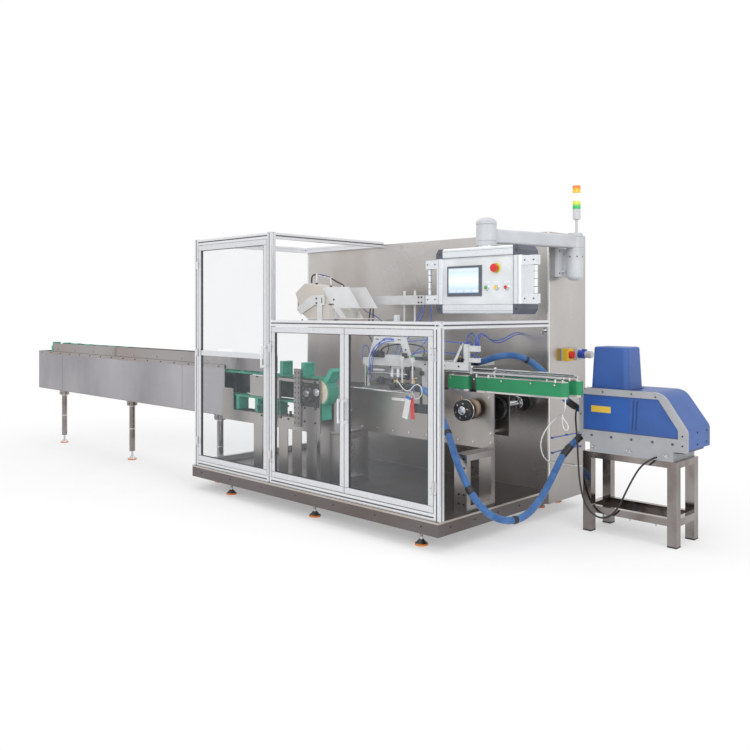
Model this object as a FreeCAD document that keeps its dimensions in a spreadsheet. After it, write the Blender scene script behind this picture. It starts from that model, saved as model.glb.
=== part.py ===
import FreeCAD, Part
import math
import os
import Sketcher
from types import SimpleNamespace

# Horizontal cartoning machine. Millimetres, +Z up.
# The origin is the centre of the front right levelling foot's sole, on the floor.
# +X runs along the machine from the bucket conveyor to the discharge belts, and +Y to the back.

# Driving dimensions
SIZES = {
    # base tray and its feet
    "base_length": 2637, "base_depth": 1240, "base_bottom": 100, "base_height": 90, "base_wall": 60,
    "floor_sheet": 4, "foot_inset_x": 210, "foot_inset_y": 90, "foot_pitch": 1003, "sole_radius": 42,
    "sole_height": 12, "cup_radius": 39, "cup_top_radius": 14, "cup_height": 26, "stem_radius": 10,
    "leg_stem": 48,
    # cabinet behind the machine
    "cabinet_length": 2600, "cabinet_depth": 519, "cabinet_bottom": 90, "cabinet_height": 1950,
    "cabinet_foot_front": 211, "cabinet_foot_back": 450, "door_sheet": 3, "door_seam": 6,
    "sheet_inset": 30,
    # guard frame of aluminium profile
    "profile": 45, "slot_width": 10, "slot_depth": 7, "cage_inset": 12, "left_post": 2621,
    "middle_post": 1660, "tall_top": 2060, "low_top": 1405, "pane": 5,
    # guard doors
    "stile": 40, "leaf": 22, "door_gap": 5, "middle_rail_low": 1108, "hinge_height": 60,
    "hinge_barrel": 7, "hinge_plate": 3, "hinge_flap": 26, "hinge_from_end": 130, "pull_radius": 7,
    "pull_length": 164, "pull_stand": 38, "pull_foot": 20, "left_pull_middle": 1127,
    "low_pull_middle": 795,
    # flighted conveyor that brings the product
    "cover_left": 6163, "cover_right": 2513, "cover_middle": 300, "cover_width": 132,
    "cover_below": 281, "cover_above": 147, "cover_sheet": 3, "guard_width": 108, "guard_above": 242,
    "guard_left": 5801, "guard_right": 1960, "guard_foot": 30, "leg_radius": 28, "collar_radius": 50,
    "collar_height": 40, "leg_flange": 57, "leg_flange_height": 10, "first_leg": 5648,
    "leg_pitch": 1490, "drum_place": 1340, "drum_height": 869, "drum_radius": 88, "belt": 15,
    "belt_width": 100, "drum_shaft": 15, "shaft_end": 8, "flight_pitch": 254, "flight_place": 1528,
    "flight": 38, "flight_height": 109, "flight_round": 6, "flight_clearance": 10, "pocket_depth": 10,
    "pocket_edge": 12, "pocket_shoulder": 56, "cheek_below": 79, "cheek_above": 85, "cheek_past": 30,
    "cheek_lap": 20, "cheek_sheet": 6, "shaft_play": 0.5, "lip": 12, "lip_height": 18, "rail_low": 565,
    "rail_top": 655, "riser_right": 2380, "riser_top": 830, "plate_left": 2153, "window_left": 1770,
    "window_right": 1580, "window_top": 930, "idler_x": 1426, "idler_z": 856, "idler_radius": 62,
    "idler_hub": 18, "idler_face": 22, "idler_reach": 48, "prop_width": 110, "prop_first": 2105,
    "prop_second": 1790, "prop_third": 1460,
    # carton bed with its chains
    "bed_left": 1400, "bed_right": 28, "bed_front": 613, "bed_back": 798, "bed_plate": 12,
    "bed_bottom": 555, "bed_back_bottom": 625, "bed_top": 925, "spacer_radius": 14, "stand_right": 29,
    "stand_length": 100, "stand_front": 320, "stand_sheet": 40, "far_stand": 1300,
    "sprocket_place": 207, "far_sprocket_place": 1290, "sprocket_height": 807, "sprocket_radius": 88,
    "tooth_gap": 7, "chain_height": 14, "chain_width": 10, "lug_height": 30, "lug_width": 12,
    "lug_pitch": 180, "chain_inset": 66, "shaft_radius": 20, "bearing_radius": 65, "bearing_width": 22,
    "wheel_radius": 70, "wheel_width": 36, "wheel_front": 500,
    # discharge side belts
    "side_belt_bottom": 938, "side_belt_height": 88, "side_belt_left": 202, "side_belt_right": 502,
    "side_belt_near": 620, "side_belt_far": 790, "roller_radius": 30, "side_belt": 4,
    "entry_belt_left": 440, "entry_belt_right": 250, "belt_plate": 4, "belt_gap": 1, "guide_radius": 8,
    "guide_height": 1052, "guide_left": 460, "guide_post": 6, "post_inset": 120, "seat_length": 65,
    "seat_gap": 4, "rail_left": 1216, "rail_right": 661, "rail_y": 490, "rail_z": 893, "rail_inset": 45,
    # overhead units
    "gantry_front": 600, "gantry_left": 1176, "gantry_right": 736, "gantry_high": 1282,
    "gantry_leg": 48, "gantry_sheet": 10, "gantry_taper": 62, "gantry_foot": 30,
    "gantry_foot_width": 72, "carrier_left": 1233, "carrier_right": 236, "carrier_low": 1066,
    "carrier_height": 52, "carrier_depth": 40, "carrier_arm": 50, "carrier_arm_right": 470,
    "post_left": 641, "post_width": 62, "slide_left": 1213, "slide_width": 40, "slide_low": 905,
    "piston_left": 950, "piston_right": 800, "piston_radius": 12, "beam_left": 1565,
    "beam_right": 877, "beam_y": 900, "beam_low": 1521, "beam_box": 71, "lift_rod": 9,
    "lift_first": 1107, "lift_pitch": 108, "lift_low": 1300, "lift_high": 1629, "lift_block": 34,
    "lift_edge": 26, "magazine_front": 500, "magazine_back": 690, "magazine_sheet": 6,
    "magazine_post_left": 1644, "magazine_post_right": 1589, "magazine_bar": 45,
    "magazine_bar_low": 1345, "card_gap": 6, "plate_start": 188, "plate_length": 291, "plate_low": 148,
    "plate_height": 164, "plate_lean": 128, "strip_start": 267, "strip_length": 60, "strip_lean": 72,
    "crook_top": 253, "crook_width": 78, "crook_reach": 243, "crook_drop": 95, "nose_length": 40,
    "nose_height": 61, "crook_knee": 32, "crook_bend": 65, "crook_right": 82, "stack_low": 72,
    "stack_low_left": 136, "stack_low_right": 267, "stack_high_right": 70, "stack_high": 317,
    "stack_peak_left": 163, "stack_peak": 350, "stack_left": 277, "stack_left_height": 273,
    "stack_waist": 200, "stack_waist_height": 110, "gun_left": 800, "gun_length": 150, "gun_y": 450,
    "gun_low": 915, "gun_size": 50, "gun_head": 925, "gun_head_raise": 24, "gun_hanger": 36,
    "gun_hanger_sheet": 12, "far_gun_y": 800, "far_gun_low": 1085, "cuff_radius": 24, "cuff_length": 60,
    "stub_radius": 19,
    # switch, socket and signal tower on the cabinet
    "switch_y": 220, "switch_z": 1152, "switch_size": 90, "switch_depth": 45, "knob_radius": 26,
    "socket_y": 350, "socket_radius": 32, "socket_length": 150, "plug_radius": 26, "tower_x": 40,
    "tower_inset": 59, "tower_pole": 10, "tower_pole_top": 2168, "tower_radius": 29, "tower_base": 75,
    "lens_height": 58, "lens_groove": 2, "groove_depth": 2,
    # pendant control and its arm
    "joint_x": 100, "joint_y": 190, "joint_low": 1720, "joint_high": 1880, "joint_radius": 59,
    "joint_plate": 20, "joint_plate_width": 200, "joint_round": 30, "arm_low": 1925, "arm_tube": 90,
    "arm_height": 92, "arm_round": 14, "elbow_x": 80, "elbow_y": 600, "elbow_radius": 68,
    "elbow_low": 1905, "elbow_top": 2060, "dome": 34, "neck_radius": 55, "swivel_gap": 0.3,
    "box_left": 429, "box_right": 255, "box_front": 500, "box_depth": 200, "box_low": 1451,
    "box_height": 440, "box_edge": 58, "box_rail": 66, "face_set": 14, "frame_round": 12,
    "cap_side": 22, "cap_end": 32, "grip_reach": 104, "grip_block": 60, "grip_depth": 48,
    "grip_low": 1520, "grip_high": 1821, "grip_radius": 12, "grip_inset": 18, "screen_left": 337,
    "screen_low": 1570, "screen_width": 284, "screen_height": 202, "screen_lip": 8, "stop_x": 61,
    "stop_z": 1749, "stop_radius": 26, "stop_stem": 18, "stop_reach": 34, "stop_head": 14,
    "button_z": 1623, "button_radius": 15, "button_reach": 16, "button_pitch": 77, "button_first": -11,
    # hot glue melter and its stand
    "table_left": 345, "table_length": 640, "table_front": 1110, "table_depth": 330, "table_leg": 60,
    "table_top": 534, "table_rail": 40, "shelf_low": 132, "shelf_rail": 46, "plinth_inset": 60,
    "melter_low": 597, "melter_top": 952, "melter_left": 336, "melter_right": 1021, "melter_depth": 430,
    "bezel_left": 317, "bezel_right": 1049, "bezel_depth": 30, "bezel_top": 957, "bezel_corner": 50,
    "bezel_side": 131, "slope_start": 892, "slope_inset": 34, "body_corner": 40, "slope_round": 110,
    "side_round": 50, "panel_left": 344, "panel_right": 994, "panel_low": 678, "panel_top": 915,
    "panel_side": 732, "panel_slope": 868, "panel_set": 9, "vent_left": 689, "vent_low": 704,
    "vent_pitch": 17, "vent_step": 0.9, "vent_length": 20, "vent_width": 5, "vent_depth": 6,
    "vent_columns": 24, "hopper_left": 371, "hopper_length": 271, "hopper_inset": 20,
    "hopper_depth": 227, "hopper_top": 1232, "hopper_taper": 2.6, "hopper_round": 32,
    "hopper_top_round": 14,
    # hoses and cables
    "hose": 46, "power_lead": 12, "signal_lead": 8,
}

doc = FreeCAD.newDocument("horizontal_cartoning_machine")
sheet = doc.addObject("Spreadsheet::Sheet", "Sizes")
for row, (word, number) in enumerate(SIZES.items(), start=1):
    sheet.set(f"A{row}", word)
    sheet.set(f"B{row}", str(number))
    sheet.setAlias(f"B{row}", word)
doc.recompute()


class Size:
    """A length that carries both its value and the spreadsheet expression that gives it."""

    def __init__(self, value, text):
        self.value = float(value)
        self.text = text

    def __add__(self, other):
        return Size(self.value + value_of(other), f"({self.text} + {text_of(other)})")

    def __radd__(self, other):
        return self + other

    def __sub__(self, other):
        return Size(self.value - value_of(other), f"({self.text} - {text_of(other)})")

    def __rsub__(self, other):
        return Size(value_of(other) - self.value, f"({text_of(other)} - {self.text})")

    def __mul__(self, other):
        return Size(self.value * value_of(other), f"({self.text} * {text_of(other)})")

    def __rmul__(self, other):
        return self * other

    def __truediv__(self, other):
        return Size(self.value / value_of(other), f"({self.text} / {text_of(other)})")

    def __neg__(self):
        return Size(-self.value, f"(-{self.text})")


def value_of(length):
    return length.value if isinstance(length, Size) else float(length)


def text_of(length):
    return length.text if isinstance(length, Size) else repr(float(length))


SAME_PLACE = 0.01
TEETH = 18
VENT_ROWS = 11
VENT_LEAN = -60
ARC_SHARE = 0.45  # of a cable's shorter run, taken by the arc at its end
mm = SimpleNamespace(**{word: Size(number, f"Sizes.{word}") for word, number in SIZES.items()})
nodes = []


def bind(item, prop, length):
    item.setExpression(prop, text_of(length))


def place(item, x, y, z):
    bind(item, "Placement.Base.x", x)
    bind(item, "Placement.Base.y", y)
    bind(item, "Placement.Base.z", z)


def turn(item, axis):
    """Lays an upright item along X or Y."""
    if axis == "x":
        item.Placement.Rotation = FreeCAD.Rotation(FreeCAD.Vector(0, 1, 0), 90)
    if axis == "y":
        item.Placement.Rotation = FreeCAD.Rotation(FreeCAD.Vector(1, 0, 0), -90)


def around(middle, width):
    """The two ends of a width about its middle."""
    return (middle - width / 2, middle + width / 2)


def onward(start, length):
    """The two ends of a length from its start."""
    return (start, start + length)


def box(x, y, z):
    """A block between two values along each axis."""
    item = doc.addObject("Part::Box", "Block")
    bind(item, "Length", x[1] - x[0])
    bind(item, "Width", y[1] - y[0])
    bind(item, "Height", z[1] - z[0])
    place(item, x[0], y[0], z[0])
    return item


def set_along(item, axis, at, start):
    """Puts an item's own origin on the line along the axis that crosses the point at."""
    turn(item, axis)
    if axis == "x":
        place(item, start, at[0], at[1])
    elif axis == "y":
        place(item, at[0], start, at[1])
    else:
        place(item, at[0], at[1], start)


def rod(axis, at, span, radius):
    """A round bar along one axis; at holds its two other coordinates."""
    item = doc.addObject("Part::Cylinder", "Rod")
    bind(item, "Radius", radius)
    bind(item, "Height", span[1] - span[0])
    set_along(item, axis, at, span[0])
    return item


def cone(axis, at, span, radii):
    item = doc.addObject("Part::Cone", "Cone")
    bind(item, "Radius1", radii[0])
    bind(item, "Radius2", radii[1])
    bind(item, "Height", span[1] - span[0])
    set_along(item, axis, at, span[0])
    return item


def fused(*parts):
    item = doc.addObject("Part::MultiFuse", "Joined")
    item.Shapes = list(parts)
    return item


def cut(base, *tools):
    item = doc.addObject("Part::Cut", "Opened")
    item.Base = base
    item.Tool = tools[0] if len(tools) == 1 else fused(*tools)
    return item


def together(*parts):
    """Like pieces that don't touch, kept as separate solids of one node."""
    item = doc.addObject("Part::Compound", "Set")
    item.Links = list(parts)
    return item


def node(label, item):
    item.Label = label
    nodes.append(item)
    return item


def origin_plane(body, role):
    return next(feature for feature in body.Origin.OriginFeatures if feature.Role == role)


def tie(sketch, kind, edge, length, point=1):
    """Holds a corner at a distance from the sketch's origin, or in line with it at zero."""
    if not isinstance(length, Size) and length == 0:
        in_line = {"X": "Vertical", "Y": "Horizontal"}[kind]
        sketch.addConstraint(Sketcher.Constraint(in_line, -1, 1, edge, point))
        return
    constraint = Sketcher.Constraint(f"Distance{kind}", -1, 1, edge, point, value_of(length))
    index = sketch.addConstraint(constraint)
    sketch.setExpression(f"Constraints[{index}]", text_of(length))


def draw_outline(sketch, corners):
    first = sketch.GeometryCount
    points = [FreeCAD.Vector(value_of(x), value_of(y), 0) for x, y in corners]
    for start, end in zip(points, points[1:] + points[:1]):
        sketch.addGeometry(Part.LineSegment(start, end))
    for index in range(len(corners)):
        following = first + (index + 1) % len(corners)
        sketch.addConstraint(Sketcher.Constraint("Coincident", first + index, 2, following, 1))
    for index, (x, y) in enumerate(corners):
        tie(sketch, "X", first + index, x)
        tie(sketch, "Y", first + index, y)


def prism(plane, outline, length, at, openings=()):
    """A padded sketch: outline in the plane, length along the plane's own axis."""
    body = doc.addObject("PartDesign::Body", "Profile")
    sketch = body.newObject("Sketcher::SketchObject", "Outline")
    sketch.AttachmentSupport = [(origin_plane(body, f"{plane}_Plane"), "")]
    sketch.MapMode = "FlatFace"
    draw_outline(sketch, outline)
    for opening in openings:
        draw_outline(sketch, opening)
    pad = body.newObject("PartDesign::Pad", "Thickness")
    pad.Profile = sketch
    pad.Reversed = plane == "XZ"
    bind(pad, "Length", length)
    place(body, *at)
    return body


def round_edges(body, radius, wanted):
    """Rounds the edges of a body that the test picks."""
    doc.recompute()
    solid = body.Tip
    picked = [f"Edge{number}" for number, edge in enumerate(solid.Shape.Edges, start=1) if wanted(edge)]
    rounding = body.newObject("PartDesign::Fillet", "Rounding")
    rounding.Base = (solid, picked)
    bind(rounding, "Radius", radius)
    return body


def rounded(body, plane, radius, corners):
    """Rounds a padded sketch along its pad at the named corners of its outline."""
    across, along = (letter.lower() for letter in plane)

    def at_corner(edge):
        return any(all(math.isclose(getattr(vertex.Point, across), value_of(x), abs_tol=SAME_PLACE)
                       and math.isclose(getattr(vertex.Point, along), value_of(y), abs_tol=SAME_PLACE)
                       for vertex in edge.Vertexes) for x, y in corners)

    return round_edges(body, radius, at_corner)


def dome(at, z, radius, height):
    """Half an ellipsoid over, or with a negative height under, the level z."""
    item = doc.addObject("Part::Ellipsoid", "Dome")
    upward = value_of(height) > 0
    bind(item, "Radius1", height if upward else -height)
    bind(item, "Radius2", radius)
    bind(item, "Radius3", radius)
    item.Angle1 = 0 if upward else -90
    item.Angle2 = 90 if upward else 0
    place(item, at[0], at[1], z)
    return item


def repeated(item, x, y, z, axis=(0, 1, 0), angle=0):
    """One more of an item drawn about the origin, turned about an axis."""
    link = doc.addObject("App::Link", "Repeat")
    link.LinkedObject = item
    link.Placement.Rotation = FreeCAD.Rotation(FreeCAD.Vector(*axis), angle)
    place(link, x, y, z)
    return link


def oblong(left, low, right, high):
    return [(left, low), (right, low), (right, high), (left, high)]


# The base's edges, from which every place is measured
right = mm.foot_inset_x
left = right - mm.base_length
front = -mm.foot_inset_y
back = front + mm.base_depth
floor = mm.base_bottom + mm.base_height


# Base tray, open below, with cross members over the feet and its floor sheet
foot_rows = [right - mm.foot_inset_x - mm.foot_pitch * count for count in (0, 1, 2)]
tray_top = floor - mm.floor_sheet
tray_inside = oblong(mm.base_wall, mm.base_wall, mm.base_length - mm.base_wall, mm.base_depth - mm.base_wall)
tray = prism("XY", oblong(0, 0, mm.base_length, mm.base_depth), tray_top - mm.base_bottom,
             (left, front, mm.base_bottom), [tray_inside])
cross_members = [box(around(x, mm.base_wall), (front + mm.base_wall, back - mm.base_wall),
                     (mm.base_bottom, tray_top)) for x in foot_rows]
node("base_tray", fused(tray, *cross_members, box((left, right), (front, back), (tray_top, floor))))


# Levelling feet: sole, cup and threaded stem
def foot(x, y, top):
    cup_top = mm.sole_height + mm.cup_height
    cup = cone("z", (x, y), (mm.sole_height, cup_top), (mm.cup_radius, mm.cup_top_radius))
    return fused(cup, rod("z", (x, y), (cup_top, top), mm.stem_radius))


def sole(x, y):
    return rod("z", (x, y), (0, mm.sole_height), mm.sole_radius)


conveyor_y = front + mm.cover_middle
base_feet = [(x, front + mm.foot_inset_y) for x in foot_rows]
cabinet_rows = [back + mm.cabinet_foot_front, back + mm.cabinet_foot_back]
cabinet_feet = [(x, y) for x in foot_rows for y in cabinet_rows]
conveyor_feet = [(right - mm.first_leg + mm.leg_pitch * count, conveyor_y) for count in range(3)]
leg_foot_top = mm.sole_height + mm.cup_height + mm.leg_stem
node("leveling_feet", together(*[foot(x, y, mm.base_bottom) for x, y in base_feet],
                               *[foot(x, y, mm.cabinet_bottom) for x, y in cabinet_feet],
                               *[foot(x, y, leg_foot_top) for x, y in conveyor_feet]))
node("foot_soles", together(*[sole(x, y) for x, y in base_feet + cabinet_feet + conveyor_feet]))


# Cabinet with its rear doors
cabinet_left = right - mm.cabinet_length
cabinet_top = mm.cabinet_bottom + mm.cabinet_height
cabinet_back = back + mm.cabinet_depth
node("back_cabinet", box((cabinet_left, right), (back, cabinet_back), (mm.cabinet_bottom, cabinet_top)))
door_width = (mm.cabinet_length - 2 * mm.sheet_inset - 2 * mm.door_seam) / 3
rear_doors = []
for count in range(3):
    start = cabinet_left + mm.sheet_inset + (door_width + mm.door_seam) * count
    rear_doors.append(box((start, start + door_width), (cabinet_back, cabinet_back + mm.door_sheet),
                          (mm.cabinet_bottom + mm.sheet_inset, cabinet_top - mm.sheet_inset)))
node("rear_doors", together(*rear_doors))


# Guard frame of slotted aluminium profile
def profile_bar(axis, x, y, z, length):
    """A square bar with a slot along each side, from its lowest corner."""
    near = (mm.profile - mm.slot_width) / 2
    far = (mm.profile + mm.slot_width) / 2
    deep = mm.profile - mm.slot_depth
    outline = [(0, 0), (near, 0), (near, mm.slot_depth), (far, mm.slot_depth), (far, 0), (mm.profile, 0),
               (mm.profile, near), (deep, near), (deep, far), (mm.profile, far), (mm.profile, mm.profile),
               (far, mm.profile), (far, deep), (near, deep), (near, mm.profile), (0, mm.profile),
               (0, far), (mm.slot_depth, far), (mm.slot_depth, near), (0, near)]
    plane = {"x": "YZ", "y": "XZ", "z": "XY"}[axis]
    return prism(plane, outline, length, (x, y, z))


cage_front = front + mm.cage_inset
cage_back = cage_front + mm.profile
left_post_x = right - mm.left_post
middle_post_x = right - mm.middle_post
corner_post_x = right - mm.profile
low_rail_under = mm.low_top - mm.profile
tall_rail_under = mm.tall_top - mm.profile
posts = [profile_bar("z", left_post_x, cage_front, floor, mm.tall_top - floor),
         profile_bar("z", middle_post_x, cage_front, floor, mm.tall_top - floor),
         profile_bar("z", corner_post_x, cage_front, floor, low_rail_under - floor)]
node("cage_posts", together(*posts))

left_bay = (left_post_x + mm.profile, middle_post_x)
right_bay = (middle_post_x + mm.profile, corner_post_x)
tall_rails = [
    profile_bar("x", left_bay[0], cage_front, floor, left_bay[1] - left_bay[0]),
    profile_bar("x", left_bay[0], cage_front, tall_rail_under, left_bay[1] - left_bay[0]),
    profile_bar("x", left_bay[0], back - mm.profile, tall_rail_under, left_bay[1] - left_bay[0]),
    profile_bar("y", left_post_x, cage_back, floor, back - cage_back),
    profile_bar("y", left_post_x, cage_back, tall_rail_under, back - cage_back),
    profile_bar("y", middle_post_x, cage_back, tall_rail_under, back - cage_back)]
node("tall_rails", together(*tall_rails))
low_rails = [
    profile_bar("x", right_bay[0], cage_front, floor, right_bay[1] - right_bay[0]),
    profile_bar("x", right_bay[0], cage_front, low_rail_under, right - right_bay[0]),
    profile_bar("y", corner_post_x, cage_back, low_rail_under, back - cage_back)]
node("low_rails", together(*low_rails))

# Clear pane at the infeed end, cut out round the conveyor
cover_low = mm.drum_height - mm.cover_below
cover_high = mm.drum_height + mm.cover_above
guard_high = mm.drum_height + mm.guard_above
pane_low = floor + mm.profile
slot_side = mm.cover_width / 2 + mm.door_gap * 2
end_pane = prism(
    "YZ", oblong(0, 0, back - cage_back, tall_rail_under - pane_low), mm.pane,
    (left_post_x + mm.profile / 2, cage_back, pane_low),
    [oblong(conveyor_y - slot_side - cage_back, cover_low - mm.door_gap * 2 - pane_low,
            conveyor_y + slot_side - cage_back, guard_high + mm.door_gap * 8 - pane_low)])
node("end_pane", end_pane)


# Guard doors: a framed clear leaf, hinged on its post, with a bow pull
hinge_y = cage_front - mm.hinge_barrel
door_front = cage_front
door_back = door_front + mm.leaf


def door_frame(x, z, rails, flap_x, flap_rows):
    """Stiles and rails with the door's halves of the hinges; rails holds each rail's underside."""
    stiles = [box((x[0], x[0] + mm.stile), (door_front, door_back), z),
              box((x[1] - mm.stile, x[1]), (door_front, door_back), z)]
    bars = [box((x[0] + mm.stile, x[1] - mm.stile), (door_front, door_back), (low, low + mm.stile))
            for low in rails]
    flaps = [box(flap_x, (door_front - mm.hinge_plate, door_front), around(middle, mm.hinge_height))
             for middle in flap_rows]
    return fused(*stiles, *bars, *flaps)


def door_pane(x, z):
    middle = door_front + mm.leaf / 2
    return box((x[0] + mm.stile, x[1] - mm.stile), around(middle, mm.pane), z)


def bow_pull(x, middle):
    """A round bar on two feet, with room for the fingers behind it."""
    low, high = around(middle, mm.pull_length)
    bar_y = door_front - mm.pull_stand
    bar = rod("z", (x, bar_y), (low, high), mm.pull_radius)
    feet = [box(around(x, mm.pull_radius * 2), (bar_y, door_front), span)
            for span in ((low, low + mm.pull_foot), (high - mm.pull_foot, high))]
    return fused(bar, *feet)


hinge_pins = []


def hinge_row(hinge_x, side, rows):
    """The post's halves of a door's hinges: a flap with the barrel; side is 1 with the post to the left."""
    for middle in rows:
        height = around(middle, mm.hinge_height)
        barrel = rod("z", (hinge_x, hinge_y), height, mm.hinge_barrel)
        span = (hinge_x - mm.hinge_flap, hinge_x) if side > 0 else (hinge_x, hinge_x + mm.hinge_flap)
        flap = box(span, (cage_front - mm.hinge_plate, cage_front), height)
        hinge_pins.append(fused(barrel, flap))


def flap_span(hinge_x, side):
    """The door's flap starts clear of the barrel."""
    near = mm.hinge_barrel + mm.door_gap
    if side > 0:
        return (hinge_x + near, hinge_x + near + mm.hinge_flap)
    return (hinge_x - near - mm.hinge_flap, hinge_x - near)


def build_door(name, x, z, rails, hinge_x, side, pull_x, pull_middle):
    rows = [z[0] + mm.hinge_from_end + mm.hinge_height / 2, z[1] - mm.hinge_from_end - mm.hinge_height / 2]
    if len(rails) > 2:
        rows.append(rails[1] + mm.stile / 2)
    node(f"{name}_frame", door_frame(x, z, rails, flap_span(hinge_x, side), rows))
    panes = [door_pane(x, (low + mm.stile, high)) for low, high in zip(rails[:-1], rails[1:])]
    node(f"{name}_pane", panes[0] if len(panes) == 1 else together(*panes))
    node(f"{name}_pull", bow_pull(pull_x, pull_middle))
    hinge_row(hinge_x, side, rows)


door_low = floor + mm.profile + mm.door_gap
tall_door_top = tall_rail_under - mm.door_gap
low_door_top = low_rail_under - mm.door_gap
left_door_x = (left_bay[0] + mm.door_gap, left_bay[1] - mm.door_gap)
meeting = (right_bay[0] + right_bay[1]) / 2
middle_door_x = (right_bay[0] + mm.door_gap, meeting - mm.door_gap / 2)
right_door_x = (meeting + mm.door_gap / 2, right_bay[1] - mm.door_gap)
build_door("left_door", left_door_x, (door_low, tall_door_top),
           [door_low, mm.middle_rail_low, tall_door_top - mm.stile],
           left_bay[0] + mm.door_gap / 2, 1, left_door_x[1] - mm.stile / 2, mm.left_pull_middle)
build_door("middle_door", middle_door_x, (door_low, low_door_top), [door_low, low_door_top - mm.stile],
           right_bay[0] + mm.door_gap / 2, 1, middle_door_x[1] - mm.stile / 2, mm.low_pull_middle)
build_door("right_door", right_door_x, (door_low, low_door_top), [door_low, low_door_top - mm.stile],
           right_bay[1] - mm.door_gap / 2, -1, right_door_x[0] + mm.stile / 2, mm.low_pull_middle)
node("door_hinges", together(*hinge_pins))


# Product conveyor: trough cover open on top, side guards and legs with their collars
cover_x = (right - mm.cover_left, right - mm.cover_right)
cover_y = around(conveyor_y, mm.cover_width)
cover_shell = box(cover_x, cover_y, (cover_low, cover_high))
cover_hollow = box((cover_x[0] + mm.cover_sheet, cover_x[1] + mm.cover_sheet),
                   (cover_y[0] + mm.cover_sheet, cover_y[1] - mm.cover_sheet),
                   (cover_low + mm.cover_sheet, cover_high + mm.cover_sheet))
node("conveyor_cover", cut(cover_shell, cover_hollow))
guard_x = (right - mm.guard_left, right - mm.guard_right)
guard_y = around(conveyor_y, mm.guard_width)
guard_low = cover_high - mm.guard_foot
guards = []
for inner, outer, wall in ((guard_y[0], guard_y[0] - mm.cover_sheet, cover_y[0] + mm.cover_sheet),
                           (guard_y[1] + mm.cover_sheet, guard_y[1], cover_y[1] - mm.cover_sheet)):
    upright = box(guard_x, (outer, inner), (guard_low, guard_high))
    near, far = (wall, outer) if wall.value < outer.value else (inner, wall)
    flange = box(guard_x, (near, far), (guard_low, guard_low + mm.cover_sheet))
    guards.append(fused(upright, flange))
node("side_guards", together(*guards))


def conveyor_leg(x, y):
    """A tube from its levelling foot to a collar and flange under the cover."""
    collar_top = cover_low - mm.leg_flange_height
    tube = rod("z", (x, y), (leg_foot_top, collar_top - mm.collar_height), mm.leg_radius)
    collar = rod("z", (x, y), (collar_top - mm.collar_height, collar_top), mm.collar_radius)
    return fused(tube, collar, rod("z", (x, y), (collar_top, cover_low), mm.leg_flange))


node("conveyor_legs", together(*[conveyor_leg(x, y) for x, y in conveyor_feet]))

# Side plates that carry the conveyor's end inside the guard, lapped on the cover, with a rail
# under the returning flights, a window beside them, and props down to the base
drum_x = right - mm.drum_place
cheek_low = mm.drum_height - mm.cheek_below
cheek_high = mm.drum_height + mm.cheek_above
cheek_left = cover_x[1] - mm.cheek_lap
cheek_right = drum_x + mm.cheek_past
riser_right = right - mm.riser_right
plate_left = right - mm.plate_left
window_x = (right - mm.window_left, right - mm.window_right)
cheek_outline = [(cheek_left, mm.rail_low), (cheek_right, mm.rail_low), (cheek_right, cheek_high),
                 (plate_left, cheek_high), (plate_left, cheek_low), (window_x[0], cheek_low),
                 (window_x[0], mm.window_top), (window_x[1], mm.window_top), (window_x[1], mm.rail_top),
                 (riser_right, mm.rail_top), (riser_right, mm.riser_top), (cheek_left, mm.riser_top)]
cheek_local = [(x - cheek_left, z - mm.rail_low) for x, z in cheek_outline]
cheek_face = cover_y[0] - mm.cheek_sheet
far_face = cover_y[1] + mm.cheek_sheet
cheeks = []
for y, lip_y in (((cheek_face, cover_y[0]), (cheek_face - mm.lip, cover_y[0])),
                 ((cover_y[1], far_face), (cover_y[1], far_face + mm.lip))):
    plate = cut(prism("XZ", cheek_local, mm.cheek_sheet, (cheek_left, y[0], mm.rail_low)),
                rod("y", (drum_x, mm.drum_height), y, mm.drum_shaft + mm.shaft_play))
    lip = box((window_x[0], cheek_right), lip_y, (cheek_high - mm.lip_height, cheek_high))
    props = [box(onward(right - start, mm.prop_width), y, (floor, mm.rail_low))
             for start in (mm.prop_first, mm.prop_second, mm.prop_third)]
    cheeks.append([plate, lip, *props])
idler_at = (right - mm.idler_x, mm.idler_z)
cheeks[0] += [rod("y", idler_at, (cheek_face - mm.idler_face, cheek_face), mm.idler_radius),
              rod("y", idler_at, (cheek_face - mm.idler_reach, cheek_face - mm.idler_face), mm.idler_hub)]
node("cheek_plates", together(*[fused(*pieces) for pieces in cheeks]))

# Drums and the belt. The loop is as long as a whole number of flights, as many as its trough has room for
turn_radius = mm.drum_radius + mm.belt
tip_radius = turn_radius + mm.flight_height
trough_room = drum_x - (cover_x[0] + mm.cover_sheet + tip_radius + mm.flight_clearance)
half_turn = turn_radius * math.pi
flight_count = math.floor(value_of((trough_room + half_turn) * 2 / mm.flight_pitch))
drum_span = mm.flight_pitch * flight_count / 2 - half_turn
far_drum_x = drum_x - drum_span
belt_y = around(conveyor_y, mm.belt_width)
drums = []
for x, shaft_y in ((drum_x, (cheek_face - mm.shaft_end, far_face)),
                   (far_drum_x, (cover_y[0] + mm.cover_sheet, cover_y[1] - mm.cover_sheet))):
    drums.append(fused(rod("y", (x, mm.drum_height), belt_y, mm.drum_radius),
                       rod("y", (x, mm.drum_height), shaft_y, mm.drum_shaft)))
node("belt_drums", together(*drums))


def stadium(axis_xs, middle_z, radius, y):
    """A block with round ends, standing in the XZ plane."""
    ends = [rod("y", (x, middle_z), y, radius) for x in axis_xs]
    return fused(*ends, box(axis_xs, y, (middle_z - radius, middle_z + radius)))


node("bucket_belt", cut(stadium((far_drum_x, drum_x), mm.drum_height, turn_radius, belt_y),
                        stadium((far_drum_x, drum_x), mm.drum_height, mm.drum_radius, belt_y)))

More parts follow.
